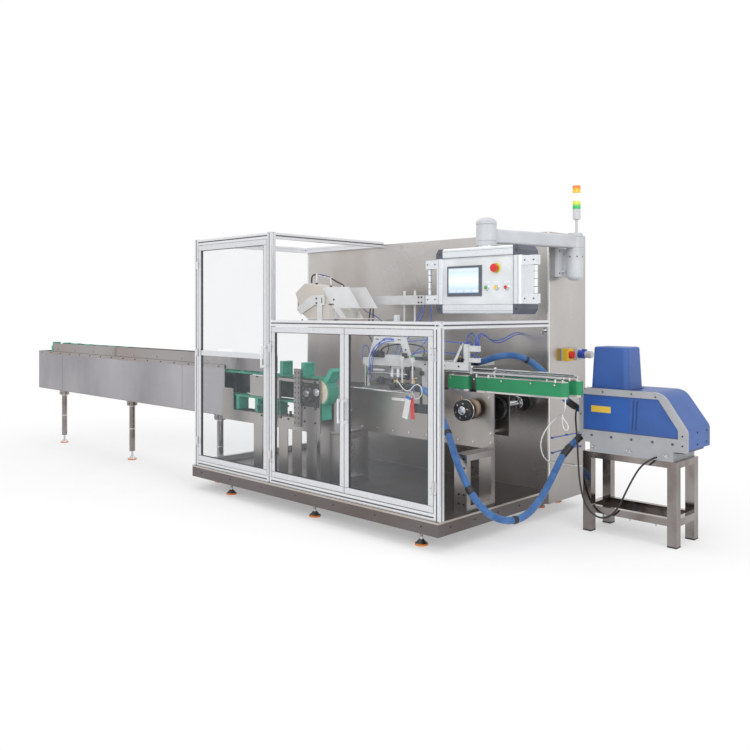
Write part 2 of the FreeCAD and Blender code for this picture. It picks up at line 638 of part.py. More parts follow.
# Flights: moulded blocks with a pocket like a shield in the face that leads, one drawn about
# the drum's axis and repeated round the whole belt
half_flight = mm.flight / 2
half_width = mm.belt_width / 2
flight_outline = oblong(-half_flight, turn_radius, half_flight, tip_radius)
flight_block = prism("XZ", flight_outline, mm.belt_width, (0, -half_width, 0))
rounded(flight_block, "XZ", mm.flight_round, flight_outline[2:])
pocket_side = half_width - mm.pocket_edge
pocket_top = tip_radius - mm.pocket_edge
pocket = prism("YZ", [(0, turn_radius + mm.pocket_edge), (pocket_side, tip_radius - mm.pocket_shoulder),
                      (pocket_side, pocket_top), (-pocket_side, pocket_top),
                      (-pocket_side, tip_radius - mm.pocket_shoulder)],
               mm.pocket_depth, (half_flight - mm.pocket_depth, 0, 0))
flight = cut(flight_block, pocket)


def flight_stop(travel):
    """Where a flight stands that has travelled from the top of the near drum: its x and its turn."""
    bend = value_of(half_turn)
    span = value_of(drum_span)
    radius = value_of(turn_radius)
    travel %= 2 * (bend + span)
    if travel < bend:
        return drum_x, math.degrees(travel / radius)
    if travel < bend + span:
        return drum_x - (travel - bend), 180
    if travel < 2 * bend + span:
        return far_drum_x, 180 + math.degrees((travel - bend - span) / radius)
    return far_drum_x + (travel - 2 * bend - span), 0


first_flight = value_of(right - mm.flight_place - drum_x)
stops = [flight_stop(first_flight + value_of(mm.flight_pitch) * count) for count in range(flight_count)]
node("product_buckets", together(*[repeated(flight, x, conveyor_y, mm.drum_height, angle=turned)
                                   for x, turned in stops]))


# Carton bed: two upright plates tied by spacers, on portal stands
bed_x = (right - mm.bed_left, right - mm.bed_right)
bed_front = front + mm.bed_front
bed_back = front + mm.bed_back
node("bed_front_plate", box(bed_x, (bed_front, bed_front + mm.bed_plate), (mm.bed_bottom, mm.bed_top)))
spacer_y = (bed_front + mm.bed_plate, bed_back - mm.bed_plate)
spacer_z = mm.bed_back_bottom + mm.spacer_radius * 2
spacers = [rod("y", (x, spacer_z), spacer_y, mm.spacer_radius)
           for x in (bed_x[0] + mm.stand_length, bed_x[1] - mm.stand_length)]
back_plate = box(bed_x, (bed_back - mm.bed_plate, bed_back), (mm.bed_back_bottom, mm.bed_top))
node("bed_back_plate", fused(back_plate, *spacers))


def portal(x):
    depth = mm.bed_front + mm.bed_plate - mm.stand_front
    height = mm.bed_bottom - floor
    return prism("YZ", oblong(0, 0, depth, height), mm.stand_length, (x, front + mm.stand_front, floor),
                 [oblong(mm.stand_sheet, mm.stand_sheet, depth - mm.stand_sheet, height - mm.stand_sheet)])


node("bed_stands", together(portal(right - mm.stand_right - mm.stand_length), portal(right - mm.far_stand)))

# Cross shaft with its bearings, clutch wheel and chain sprockets
shaft_x = right - mm.sprocket_place
shaft_at = (shaft_x, mm.sprocket_height)
wheel_y = front + mm.wheel_front
collar = rod("y", shaft_at, (bed_front - mm.bearing_width, bed_front), mm.bearing_radius)
wheel = rod("y", shaft_at, (wheel_y, wheel_y + mm.wheel_width), mm.wheel_radius)
hub = rod("y", shaft_at, (wheel_y + mm.wheel_width, bed_front - mm.bearing_width), mm.shaft_radius)
chain_y = [spacer_y[0] + mm.chain_inset, spacer_y[1] - mm.chain_inset - mm.chain_width]
sprocket_xs = (right - mm.far_sprocket_place, shaft_x)
shaft_runs = [rod("y", (sprocket_xs[0], mm.sprocket_height), spacer_y, mm.shaft_radius),
              rod("y", shaft_at, spacer_y, mm.shaft_radius)]
disc = rod("y", (0, 0), (0, mm.chain_width), mm.sprocket_radius)
gaps = []
for count in range(TEETH):
    angle = 2 * math.pi * count / TEETH
    gaps.append(rod("y", (mm.sprocket_radius * math.cos(angle), mm.sprocket_radius * math.sin(angle)),
                    (0, mm.chain_width), mm.tooth_gap))
toothed_disc = cut(disc, *gaps)
sprockets = [fused(shaft, *[repeated(toothed_disc, x, y, mm.sprocket_height) for y in chain_y])
             for x, shaft in zip(sprocket_xs, shaft_runs)]
node("chain_sprockets", together(*sprockets))
back_bearing = rod("y", shaft_at, (back - mm.bearing_width, back), mm.bearing_radius)
back_shaft = fused(back_bearing, rod("y", shaft_at, (bed_back, back - mm.bearing_width), mm.shaft_radius))
node("cross_shaft", together(fused(collar, wheel, hub), back_shaft))

chains = []
chain_top = mm.sprocket_height + mm.sprocket_radius + mm.chain_height
lug_count = math.floor((value_of(sprocket_xs[1]) - value_of(sprocket_xs[0])) / value_of(mm.lug_pitch))
for y in chain_y:
    span = (y, y + mm.chain_width)
    loop = cut(stadium(sprocket_xs, mm.sprocket_height, mm.sprocket_radius + mm.chain_height, span),
               stadium(sprocket_xs, mm.sprocket_height, mm.sprocket_radius, span))
    lugs = [box(onward(sprocket_xs[0] + mm.lug_pitch * count, mm.lug_width), span,
                (chain_top - mm.chain_height / 2, chain_top + mm.lug_height))
            for count in range(1, lug_count + 1)]
    chains.append(fused(loop, *lugs))
node("carton_chains", together(*chains))


# Discharge side belts on upright rollers, with their beams and guide rods
belt_low = mm.side_belt_bottom
belt_high = belt_low + mm.side_belt_height
belt_roll = mm.roller_radius + mm.side_belt


def flat_stadium(xs, y, radius, z):
    """A block with round ends, lying in the XY plane."""
    ends = [rod("z", (x, y), z, radius) for x in xs]
    return fused(*ends, box(xs, (y - radius, y + radius), z))


near_y = front + mm.side_belt_near + belt_roll
far_y = front + mm.side_belt_far + belt_roll
long_xs = (right - mm.side_belt_left + belt_roll, right + mm.side_belt_right - belt_roll)
short_xs = (right - mm.entry_belt_left + belt_roll, right - mm.entry_belt_right - belt_roll)
belt_runs = [(short_xs, near_y), (long_xs, near_y), (long_xs, far_y)]
node("side_belts", together(*[cut(flat_stadium(xs, y, belt_roll, (belt_low, belt_high)),
                                  flat_stadium(xs, y, mm.roller_radius, (belt_low, belt_high)))
                              for xs, y in belt_runs]))
belt_frames = []
roller_z = (belt_low - mm.belt_gap, belt_high + mm.belt_gap)
for (xs, y), seat_y in zip(belt_runs, (bed_front, bed_front, bed_back - mm.bed_plate)):
    plates = [flat_stadium(xs, y, mm.roller_radius, span)
              for span in ((mm.bed_top, roller_z[0]), onward(roller_z[1], mm.belt_plate))]
    rollers = [rod("z", (x, y), roller_z, mm.roller_radius) for x in xs]
    web = box(xs, around(y, mm.guide_post * 2), roller_z)
    seat = box(onward(xs[0], mm.seat_length), (seat_y, y), (mm.bed_top, belt_low - mm.seat_gap))
    belt_frames.append(fused(*plates, *rollers, web, seat))
node("belt_frames", together(*belt_frames))
plate_top = belt_high + mm.belt_gap + mm.belt_plate
guide_runs = [((right - mm.guide_left, long_xs[1]), near_y), (long_xs, far_y)]
guides = []
for xs, y in guide_runs:
    bar = rod("x", (y, mm.guide_height), xs, mm.guide_radius)
    posts = [rod("z", (x, y), (plate_top, mm.guide_height), mm.guide_post)
             for x in (long_xs[0] + mm.post_inset, long_xs[1] - mm.post_inset)]
    guides.append(fused(bar, *posts))
rail_at = (front + mm.rail_y, mm.rail_z)
rail_x = (right - mm.rail_left, right - mm.rail_right)
guides.append(fused(rod("x", rail_at, rail_x, mm.guide_radius),
                    *[rod("y", (x, mm.rail_z), (rail_at[0], bed_front), mm.guide_post)
                      for x in (rail_x[0] + mm.rail_inset, rail_x[1] - mm.rail_inset)]))
node("guide_rods", together(*guides))


# Overhead carrier on its post and arms, with a slide and an air cylinder under it
carrier_y = onward(front + mm.gantry_front, mm.carrier_depth)
carrier_top = mm.carrier_low + mm.carrier_height
carrier_x = (right - mm.carrier_left, right - mm.carrier_right)
arm_right = right - mm.carrier_arm_right
carrier_arms = [box(onward(x, mm.carrier_arm), (carrier_y[1], back), (mm.carrier_low, carrier_top))
                for x in (carrier_x[0], arm_right - mm.carrier_arm)]
carrier_post = box(onward(right - mm.post_left, mm.post_width), carrier_y, (mm.bed_top, mm.carrier_low))
slide = box(onward(right - mm.slide_left, mm.slide_width), (carrier_y[0], bed_front),
            (mm.slide_low, mm.carrier_low))
piston = rod("x", (carrier_y[0] + mm.carrier_depth / 2, mm.carrier_low - mm.piston_radius),
             (right - mm.piston_left, right - mm.piston_right), mm.piston_radius)
node("carrier_beam", fused(box(carrier_x, carrier_y, (mm.carrier_low, carrier_top)), *carrier_arms,
                           carrier_post, slide, piston))

# Gantry bracket: a plate cut out to an A, standing on the carrier
gantry_x = (right - mm.gantry_left, right - mm.gantry_right)
gantry_width = gantry_x[1] - gantry_x[0]
gantry_height = mm.gantry_high - carrier_top
gantry = prism("XZ", [(0, 0), (gantry_width, 0), (gantry_width - mm.gantry_taper, gantry_height),
                      (mm.gantry_taper, gantry_height)],
               mm.gantry_sheet, (gantry_x[0], carrier_y[0], carrier_top),
               [[(mm.gantry_foot_width, mm.gantry_foot),
                 (gantry_width - mm.gantry_foot_width, mm.gantry_foot),
                 (gantry_width - mm.gantry_taper - mm.gantry_leg, gantry_height - mm.gantry_leg),
                 (mm.gantry_taper + mm.gantry_leg, gantry_height - mm.gantry_leg)]])
node("gantry_plate", gantry)

# Top beam from the cabinet, with two lifting rods through it and the block that they carry
beam_x = (right - mm.beam_left, right - mm.beam_right)
beam_y = onward(front + mm.beam_y, mm.beam_box)
beam_top = mm.beam_low + mm.beam_box
beam_middle = beam_y[0] + mm.beam_box / 2
brackets = [box(onward(x, mm.beam_box), (beam_y[1], back), (mm.beam_low, beam_top))
            for x in (beam_x[0], beam_x[1] - mm.beam_box)]
lift_xs = [right - mm.lift_first, right - mm.lift_first + mm.lift_pitch]
lifts = [rod("z", (x, beam_middle), (mm.lift_low, mm.lift_high), mm.lift_rod) for x in lift_xs]
lift_block = box((lift_xs[0] - mm.lift_edge, lift_xs[1] + mm.lift_edge),
                 around(beam_middle, mm.lift_edge * 2), (mm.lift_low - mm.lift_block, mm.lift_low))
node("top_beam", fused(box(beam_x, beam_y, (mm.beam_low, beam_top)), *brackets, *lifts, lift_block))

# Carton magazine: two side plates with a crooked arm and a post each, tied by bars and carried
# from the cabinet, and the leaning stack of flat cartons between them
magazine_y = (front + mm.magazine_front, front + mm.magazine_back)
magazine_at = (right - mm.magazine_post_left, mm.magazine_bar_low)


def leaning(start, length, low, height, lean):
    """A parallelogram that leans back by lean over its height."""
    return [(start, low), (start + length, low),
            (start + length - lean, low + height), (start - lean, low + height)]


plate_outline = leaning(mm.plate_start, mm.plate_length, mm.plate_low, mm.plate_height, mm.plate_lean)
strip_height = mm.plate_low - mm.stack_low
strip_outline = leaning(mm.strip_start, mm.strip_length, mm.stack_low, strip_height, mm.strip_lean)
crook_low = mm.crook_top - mm.crook_width
nose_z = mm.crook_top - mm.crook_drop
crook_outline = [(-mm.crook_reach, nose_z), (mm.nose_length - mm.crook_reach, nose_z - mm.nose_height),
                 (-mm.crook_knee, crook_low), (mm.crook_right, crook_low), (mm.crook_right, mm.crook_top),
                 (-mm.crook_bend, mm.crook_top)]
post_width = mm.magazine_post_left - mm.magazine_post_right
post_outline = oblong(0, 0, post_width, mm.crook_top)
magazine_parts = [prism("XZ", outline, mm.magazine_sheet, (magazine_at[0], y, magazine_at[1]))
                  for y in (magazine_y[0], magazine_y[1] - mm.magazine_sheet)
                  for outline in (plate_outline, crook_outline, strip_outline, post_outline)]
stack_floor = magazine_at[1] + mm.stack_low
floor_x = (magazine_at[0] - mm.stack_low_left, magazine_at[0] + mm.plate_start + mm.plate_length)
magazine_parts += [box(floor_x, magazine_y, (stack_floor - mm.magazine_sheet, stack_floor)),
                   box(onward(magazine_at[0], post_width), (magazine_y[0], back),
                       onward(magazine_at[1], mm.magazine_bar))]
node("carton_magazine", fused(*magazine_parts))
stack_outline = [(-mm.stack_low_left, mm.stack_low), (mm.stack_low_right, mm.stack_low),
                 (mm.stack_high_right, mm.stack_high), (-mm.stack_peak_left, mm.stack_peak),
                 (-mm.stack_left, mm.stack_left_height), (-mm.stack_waist, mm.stack_waist_height)]
stack_inset = mm.magazine_sheet + mm.card_gap
node("carton_stack", prism("XZ", stack_outline, magazine_y[1] - magazine_y[0] - stack_inset * 2,
                           (magazine_at[0], magazine_y[0] + stack_inset, magazine_at[1])))


# Glue guns with the cuffs that their hoses leave; the near one has its valve head and a hanger
# up to the carrier, the far one is bolted to the carrier's arm
gun_x = onward(right - mm.gun_left, mm.gun_length)
gun_y = front + mm.gun_y
gun_span = around(gun_y, mm.gun_size)
gun_top = mm.gun_low + mm.gun_size
gun_middle = mm.gun_low + mm.gun_size / 2
gun_head_x = (right - mm.gun_head, gun_x[0] + mm.gun_size / 2)
hanger_x = onward(gun_x[0], mm.gun_hanger)
hanger_top = gun_top + mm.gun_head_raise
hanger_back = carrier_y[0] + mm.gun_hanger_sheet
near_gun = fused(box(gun_x, gun_span, (mm.gun_low, gun_top)),
                 box(gun_head_x, gun_span, (gun_top - mm.gun_head_raise, hanger_top)),
                 box(hanger_x, (gun_y, hanger_back), (hanger_top - mm.gun_hanger_sheet, hanger_top)),
                 box(hanger_x, (carrier_y[0], hanger_back), (hanger_top, mm.carrier_low)),
                 rod("x", (gun_y, gun_middle), onward(gun_x[1], mm.cuff_length), mm.cuff_radius))
far_gun_x = onward(arm_right, mm.gun_size)
far_gun_y = front + mm.far_gun_y
far_middle = mm.far_gun_low + mm.gun_size / 2
far_gun = fused(box(far_gun_x, around(far_gun_y, mm.gun_size), around(far_middle, mm.gun_size)),
                rod("x", (far_gun_y, far_middle), onward(far_gun_x[1], mm.cuff_length), mm.cuff_radius))
node("glue_guns", together(near_gun, far_gun))


# Main switch and plug socket on the cabinet's end, signal tower on its roof
switch_y = back + mm.switch_y
switch_face = right + mm.switch_depth
switch_z = around(mm.switch_z, mm.switch_size)
switch_plate = box((right, switch_face), around(switch_y, mm.switch_size), switch_z)
knob = rod("x", (switch_y, mm.switch_z), onward(switch_face, mm.knob_radius), mm.knob_radius)
socket_y = back + mm.socket_y
socket_body = box((right, switch_face), around(socket_y, mm.socket_radius * 2), switch_z)
plug = rod("x", (socket_y, mm.switch_z), (switch_face, right + mm.socket_length), mm.plug_radius)
node("switch_and_socket", together(fused(switch_plate, knob), fused(socket_body, plug)))
tower_at = (right - mm.tower_x, cabinet_back - mm.tower_inset)
tower_base_top = mm.tower_pole_top + mm.tower_base
tower_parts = [rod("z", tower_at, (cabinet_top, mm.tower_pole_top), mm.tower_pole),
               rod("z", tower_at, (mm.tower_pole_top, tower_base_top), mm.tower_radius)]
for count in range(3):
    groove_low = tower_base_top + (mm.lens_height + mm.lens_groove) * count
    groove_top = groove_low + mm.lens_groove
    tower_parts += [rod("z", tower_at, (groove_low, groove_top), mm.tower_radius - mm.groove_depth),
                    rod("z", tower_at, onward(groove_top, mm.lens_height), mm.tower_radius)]
node("signal_tower", fused(*tower_parts))


# Arm joint on the cabinet's end, and the swinging arm with its elbow
joint_at = (right + mm.joint_x, back + mm.joint_y)
plate_y = around(joint_at[1], mm.joint_plate_width)
joint_plate = box((right, right + mm.joint_plate), plate_y, (mm.joint_low, mm.arm_low - mm.swivel_gap))
joint_web = box((right + mm.joint_plate, joint_at[0]), around(joint_at[1], mm.joint_radius),
                (mm.joint_low, mm.joint_high))
joint_barrel = rod("z", joint_at, (mm.joint_low, mm.arm_low - mm.swivel_gap), mm.joint_radius)
joint_end = dome(joint_at, mm.joint_low, mm.joint_radius, -mm.joint_round)
node("arm_wall_joint", fused(joint_plate, joint_web, joint_barrel, joint_end))

elbow_at = (right - mm.elbow_x, front + mm.elbow_y)
arm_top = mm.arm_low + mm.arm_height
run = math.hypot(value_of(elbow_at[0] - joint_at[0]), value_of(elbow_at[1] - joint_at[1]))
reach_text = (f"sqrt(pow({text_of(elbow_at[0] - joint_at[0])}; 2) + "
              f"pow({text_of(elbow_at[1] - joint_at[1])}; 2))")
heading = math.atan2(value_of(elbow_at[1] - joint_at[1]), value_of(elbow_at[0] - joint_at[0]))
arm_corners = oblong(0, 0, mm.arm_tube, mm.arm_height)
reach = prism("YZ", arm_corners, Size(run, reach_text),
              (joint_at[0] + mm.arm_tube * (math.sin(heading) / 2),
               joint_at[1] - mm.arm_tube * (math.cos(heading) / 2), mm.arm_low))
rounded(reach, "YZ", mm.arm_round, arm_corners)
reach.Placement.Rotation = FreeCAD.Rotation(FreeCAD.Vector(0, 0, 1), math.degrees(heading))
joint_head = rod("z", joint_at, (mm.arm_low, arm_top), mm.joint_radius)
elbow = rod("z", elbow_at, (mm.elbow_low, mm.elbow_top), mm.elbow_radius)
elbow_dome = dome(elbow_at, mm.elbow_top, mm.elbow_radius, mm.dome)
node("swing_arm", fused(reach, joint_head, elbow, elbow_dome))


# Pendant control box with its frame, grips, screen and buttons
box_x = (right - mm.box_left, right + mm.box_right)
box_front = front + mm.box_front
box_y = (box_front, box_front + mm.box_depth)
box_top = mm.box_low + mm.box_height
face_y = box_front + mm.face_set
neck = rod("z", elbow_at, (box_top, mm.elbow_low - mm.swivel_gap), mm.neck_radius)
inner_x = (box_x[0] + mm.box_edge, box_x[1] - mm.box_edge)
inner_z = (mm.box_low + mm.box_rail, box_top - mm.box_rail)
node("pendant_face", box(inner_x, (face_y, box_y[1]), inner_z))
bar_section = oblong(0, 0, mm.box_depth, mm.box_rail)
side_section = oblong(0, 0, mm.box_edge, mm.box_depth)
inner_length = inner_x[1] - inner_x[0]
bars = [rounded(prism("YZ", bar_section, inner_length, (inner_x[0], box_front, low)),
                "YZ", mm.frame_round, [bar_section[0], bar_section[3]]) for low in (mm.box_low, inner_z[1])]
side_bars = [rounded(prism("XY", side_section, inner_z[1] - inner_z[0], (x, box_front, inner_z[0])),
                     "XY", mm.frame_round, side_section[:2]) for x in (box_x[0], inner_x[1])]
node("pendant_frame", together(bars[0], fused(bars[1], neck), *side_bars))


def corner_cap(x, z, inward, upward):
    """A cap with its outer corner cut off; inward and upward say which corner it stands on."""
    edge_x = (0, mm.cap_side, mm.box_edge) if inward > 0 else (mm.box_edge, mm.box_edge - mm.cap_side, 0)
    edge_z = (0, mm.cap_end, mm.box_rail) if upward > 0 else (mm.box_rail, mm.box_rail - mm.cap_end, 0)
    outline = [(edge_x[1], edge_z[0]), (edge_x[2], edge_z[0]), (edge_x[2], edge_z[2]),
               (edge_x[0], edge_z[2]), (edge_x[0], edge_z[1])]
    return prism("XZ", outline, mm.box_depth, (x, box_front, z))


node("pendant_corners", together(*[corner_cap(x, z, inward, upward)
                                   for x, inward in ((box_x[0], 1), (inner_x[1], -1))
                                   for z, upward in ((mm.box_low, 1), (inner_z[1], -1))]))
grip_y = onward(face_y, mm.grip_depth)
grip_blocks_z = (onward(mm.grip_low, mm.grip_block), (mm.grip_high - mm.grip_block, mm.grip_high))
grips = []
for grip_x, bar_x in (((box_x[0] - mm.grip_reach, box_x[0]), box_x[0] - mm.grip_reach + mm.grip_inset),
                      ((box_x[1], box_x[1] + mm.grip_reach), box_x[1] + mm.grip_reach - mm.grip_inset)):
    blocks = [box(grip_x, grip_y, span) for span in grip_blocks_z]
    bar = rod("z", (bar_x, grip_y[0] + mm.grip_depth / 2), (grip_blocks_z[0][1], grip_blocks_z[1][0]),
              mm.grip_radius)
    grips.append(fused(bar, *blocks))
node("pendant_grips", together(*grips))
screen_x = onward(right - mm.screen_left, mm.screen_width)
node("pendant_screen", box(screen_x, (face_y - mm.screen_lip, face_y),
                           onward(mm.screen_low, mm.screen_height)))
stop_at = (right + mm.stop_x, mm.stop_z)
head_y = face_y - mm.stop_reach
stop = fused(rod("y", stop_at, (head_y + mm.stop_head, face_y), mm.stop_stem),
             rod("y", stop_at, (head_y, head_y + mm.stop_head), mm.stop_radius))
buttons = [rod("y", (right + mm.button_first + mm.button_pitch * count, mm.button_z),
               (face_y - mm.button_reach, face_y), mm.button_radius) for count in range(3)]
node("pendant_buttons", together(stop, *buttons))


# Hot glue melter on its stand
table_x = onward(right + mm.table_left, mm.table_length)
table_y = onward(front + mm.table_front, mm.table_depth)
table_legs = [box(onward(x, mm.table_leg), onward(y, mm.table_leg), (0, mm.table_top))
              for x in (table_x[0], table_x[1] - mm.table_leg)
              for y in (table_y[0], table_y[1] - mm.table_leg)]
table_inner_x = (table_x[0] + mm.table_leg, table_x[1] - mm.table_leg)
table_inner_y = (table_y[0] + mm.table_leg, table_y[1] - mm.table_leg)
ring_bars = []
for low, height in ((mm.table_top - mm.table_rail, mm.table_rail), (mm.shelf_low, mm.shelf_rail)):
    ring_bars += [box(table_inner_x, onward(y, mm.table_rail), onward(low, height))
                  for y in (table_y[0], table_y[1] - mm.table_rail)]
    ring_bars += [box(onward(x, mm.table_rail), table_inner_y, onward(low, height))
                  for x in (table_x[0], table_x[1] - mm.table_rail)]
shelf = box((table_x[0] + mm.table_rail, table_x[1] - mm.table_rail),
            (table_y[0] + mm.table_rail, table_y[1] - mm.table_rail), onward(mm.shelf_low, mm.floor_sheet))
node("melter_stand", fused(*table_legs, *ring_bars, shelf))

# Melter's grey part: a plinth on the stand and the bezel round the front, with its corners cut
# off and the long slope that the hood follows
melter_x = (right + mm.melter_left, right + mm.melter_right)
melter_y = onward(table_y[0], mm.melter_depth)
body_y = melter_y[0] + mm.bezel_depth
plinth_x = (melter_x[0] + mm.plinth_inset, melter_x[1] - mm.plinth_inset)
plinth = box(plinth_x, table_y, (mm.table_top, mm.melter_low))
bezel_top = mm.bezel_top - mm.melter_low
bezel_side = mm.bezel_side
bezel_width = mm.bezel_right - mm.bezel_left
slope_top = mm.slope_start - mm.bezel_left
bezel_outline = [(mm.bezel_corner, 0), (bezel_width, 0), (bezel_width, bezel_side), (slope_top, bezel_top),
                 (mm.bezel_corner, bezel_top), (0, bezel_top - mm.bezel_corner), (0, mm.bezel_corner)]
panel_outline = [(mm.panel_left, mm.panel_low), (mm.panel_right, mm.panel_low),
                 (mm.panel_right, mm.panel_side), (mm.panel_slope, mm.panel_top),
                 (mm.panel_left, mm.panel_top)]
panel_local = [(x - mm.bezel_left, z - mm.melter_low) for x, z in panel_outline]
bezel_x = right + mm.bezel_left
bezel = prism("XZ", bezel_outline, mm.bezel_depth, (bezel_x, melter_y[0], mm.melter_low), [panel_local])
rounded(bezel, "XZ", mm.side_round, [bezel_outline[2]])
rounded(bezel, "XZ", mm.slope_round, [bezel_outline[3]])
node("melter_chassis", fused(plinth, bezel))

# Melter's blue part: body, inset front panel with its slanted vents, and the tapered hopper
slope_x = mm.slope_start - mm.melter_left - mm.slope_inset
body_width = mm.melter_right - mm.melter_left
body_top = mm.melter_top - mm.melter_low
body_outline = [(mm.body_corner, 0), (body_width, 0), (body_width, bezel_side), (slope_x, body_top),
                (0, body_top), (0, mm.body_corner)]
body = prism("XZ", body_outline, mm.melter_depth - mm.bezel_depth, (melter_x[0], body_y, mm.melter_low))
rounded(body, "XZ", mm.side_round, [body_outline[2]])
rounded(body, "XZ", mm.slope_round, [body_outline[3]])
panel_y = melter_y[0] + mm.panel_set
panel = prism("XZ", panel_local, body_y - panel_y, (bezel_x, panel_y, mm.melter_low))
vents = []
for count in range(VENT_ROWS):
    for column in (0, 1):
        slot = box((0, mm.vent_length), (0, mm.vent_depth), (0, mm.vent_width))
        slot.Placement.Rotation = FreeCAD.Rotation(FreeCAD.Vector(0, 1, 0), VENT_LEAN)
        place(slot, right + mm.vent_left + mm.vent_columns * column + mm.vent_step * count, panel_y,
              mm.vent_low + mm.vent_pitch * count)
        vents.append(slot)
hopper_height = mm.hopper_top - mm.melter_top
hopper_outline = oblong(0, 0, mm.hopper_length, mm.hopper_depth)
hopper = prism("XY", hopper_outline, hopper_height,
               (right + mm.hopper_left, melter_y[0] + mm.bezel_depth + mm.hopper_inset, mm.melter_top))
bind(hopper.Tip, "TaperAngle", -mm.hopper_taper)
rim = value_of(hopper_height)
round_edges(hopper, mm.hopper_round, lambda edge: edge.BoundBox.ZLength > rim / 2)
round_edges(hopper, mm.hopper_top_round, lambda edge: edge.BoundBox.ZMin > rim - SAME_PLACE)
node("melter_hood", fused(body, cut(panel, *vents), hopper))


# Free hoses and cables
def tube(label, points, diameter):
    """A round tube along straight runs joined by arcs as large as their two runs allow."""
    corners = [FreeCAD.Vector(*point) for point in points]
    runs = [end - start for start, end in zip(corners, corners[1:])]
    edges = []
    start = corners[0]
    smallest = None
    for before, after, corner in zip(runs, runs[1:], corners[1:-1]):
        turn_angle = before.getAngle(after)
        shorter = min(before.Length, after.Length)
        radius = ARC_SHARE * shorter / math.tan(turn_angle / 2)
        smallest = radius if smallest is None else min(smallest, radius)
        into = FreeCAD.Vector(before).normalize()
        out = FreeCAD.Vector(after).normalize()
        arc_start = corner - into * (ARC_SHARE * shorter)
        arc_end = corner + out * (ARC_SHARE * shorter)
        bisector = (out - into).normalize()
        centre = corner + bisector * (radius / math.cos(turn_angle / 2))
        middle = centre - bisector * radius
        edges.append(Part.LineSegment(start, arc_start).toShape())
        edges.append(Part.Arc(arc_start, middle, arc_end).toShape())
        start = arc_end
    edges.append(Part.LineSegment(start, corners[-1]).toShape())
    path = Part.Wire(edges)
    section = Part.Wire([Part.Circle(corners[0], runs[0], diameter / 2).toShape()])
    item = doc.addObject("Part::Feature", "Tube")
    item.Shape = path.makePipeShell([section], True, False)
    share = item.Shape.Volume / (math.pi * (diameter / 2) ** 2 * path.Length)
    print(f"{label}: length {path.Length:.0f}, smallest radius {smallest:.0f}, volume share {share:.3f}")
    return node(label, item)


def hose_fitting(ball, outward):
    """An angled fitting on the melter's end: a stub, a ball and a cuff that the hose leaves."""
    face = value_of(melter_x[0])
    radius = value_of(mm.cuff_radius)
    centre = FreeCAD.Vector(*ball)
    stub = Part.makeCylinder(value_of(mm.stub_radius), face - centre.x, centre, FreeCAD.Vector(1, 0, 0))
    way = FreeCAD.Vector(*outward).normalize()
    cuff = Part.makeCylinder(radius, value_of(mm.cuff_length), centre, way)
    return Part.makeSphere(radius, centre).fuse([stub, cuff]).removeSplitter()


lower_way = (-0.50, -0.55, -0.67)
upper_way = (-0.75, -0.50, 0.43)
lower_ball = (506, 1100, 625)
upper_ball = (506, 1200, 760)
fittings = doc.addObject("Part::Feature", "Fittings")
fittings.Shape = Part.makeCompound([hose_fitting(lower_ball, lower_way), hose_fitting(upper_ball, upper_way)])
node("hose_fittings", fittings)


def leave(ball, way, distance):
    reach_out = FreeCAD.Vector(*way).normalize() * distance
    return tuple(FreeCAD.Vector(*ball) + reach_out)


near_gun_end = (value_of(gun_x[1] + mm.cuff_length), value_of(gun_y), value_of(gun_middle))
far_gun_end = (value_of(far_gun_x[1] + mm.cuff_length), value_of(far_gun_y), value_of(far_middle))
cuff = value_of(mm.cuff_length)
first_run = 110
gun_run = 80
wall_run = 60
lower_route = [near_gun_end, (near_gun_end[0] + gun_run, near_gun_end[1], near_gun_end[2]), (-210, 346, 900),
               (-130, 325, 820), (-50, 290, 730), (40, 238, 645),
               (140, 177, 520), (225, 165, 395), (300, 180, 280), (365, 235, 200), (415, 330, 160),
               (445, 440, 160), (455, 555, 195), (450, 670, 255), (440, 780, 325), (428, 880, 400),
               leave(lower_ball, lower_way, cuff + first_run), leave(lower_ball, lower_way, cuff)]
tube("lower_hose", lower_route, value_of(mm.hose))
upper_route = [far_gun_end, (-72, 710, 1110), (10, 730, 1142), (88, 778, 1166), (158, 842, 1162),
               (222, 908, 1120), (284, 975, 1045), (336, 1047, 950),
               leave(upper_ball, upper_way, cuff + first_run), leave(upper_ball, upper_way, cuff)]
tube("upper_hose", upper_route, value_of(mm.hose))
hood_face = value_of(melter_x[0])
power_route = [(hood_face, 1075, 835), (508, 1075, 835), (480, 1062, 803), (484, 1045, 742),
               (502, 1027, 665), (518, 1014, 560), (529, 1004, 440), (548, 990, 320),
               (578, 982, 215), (625, 978, 145), (690, 978, 112), (755, 983, 122), (808, 986, 172),
               (850, 988, 248), (890, 985, 332), (935, 974, 410), (980, 955, 475), (1028, 938, 522),
               (1066, 970, 552), (1066, value_of(table_y[0]), 552)]
tube("power_cable", power_route, value_of(mm.power_lead))
cabinet_face = value_of(right)
signal_route = [(690, value_of(near_y), value_of(mm.bed_top)), (690, value_of(near_y), 880), (655, 612, 845),
                (605, 680, 815), (550, 742, 797), (495, 775, 770), (445, 780, 722), (405, 768, 660),
                (380, 770, 590), (370, 805, 520), (352, 875, 468), (325, 975, 432), (302, 1090, 405),
                (290, 1210, 380), (288, 1330, 355), (290, 1440, 335), (cabinet_face + wall_run, 1516, 322),
                (cabinet_face, 1516, 322)]
tube("signal_cable", signal_route, value_of(mm.signal_lead))

doc.recompute()

# Checks and files
for item in doc.Objects:
    if {"Invalid", "Error"} & set(item.State):
        raise RuntimeError(f"{item.Label} failed: {item.State}")
os.makedirs("parts", exist_ok=True)
for item in nodes:
    shape = item.Shape
    if shape.isNull() or not shape.isValid():
        raise RuntimeError(f"{item.Label} has no valid shape")
    shape.exportStep(os.path.join("parts", f"{item.Label}.step"))
print(len(nodes), "nodes written")
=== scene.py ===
import math

import bmesh
import bpy
from mathutils import Matrix, Vector


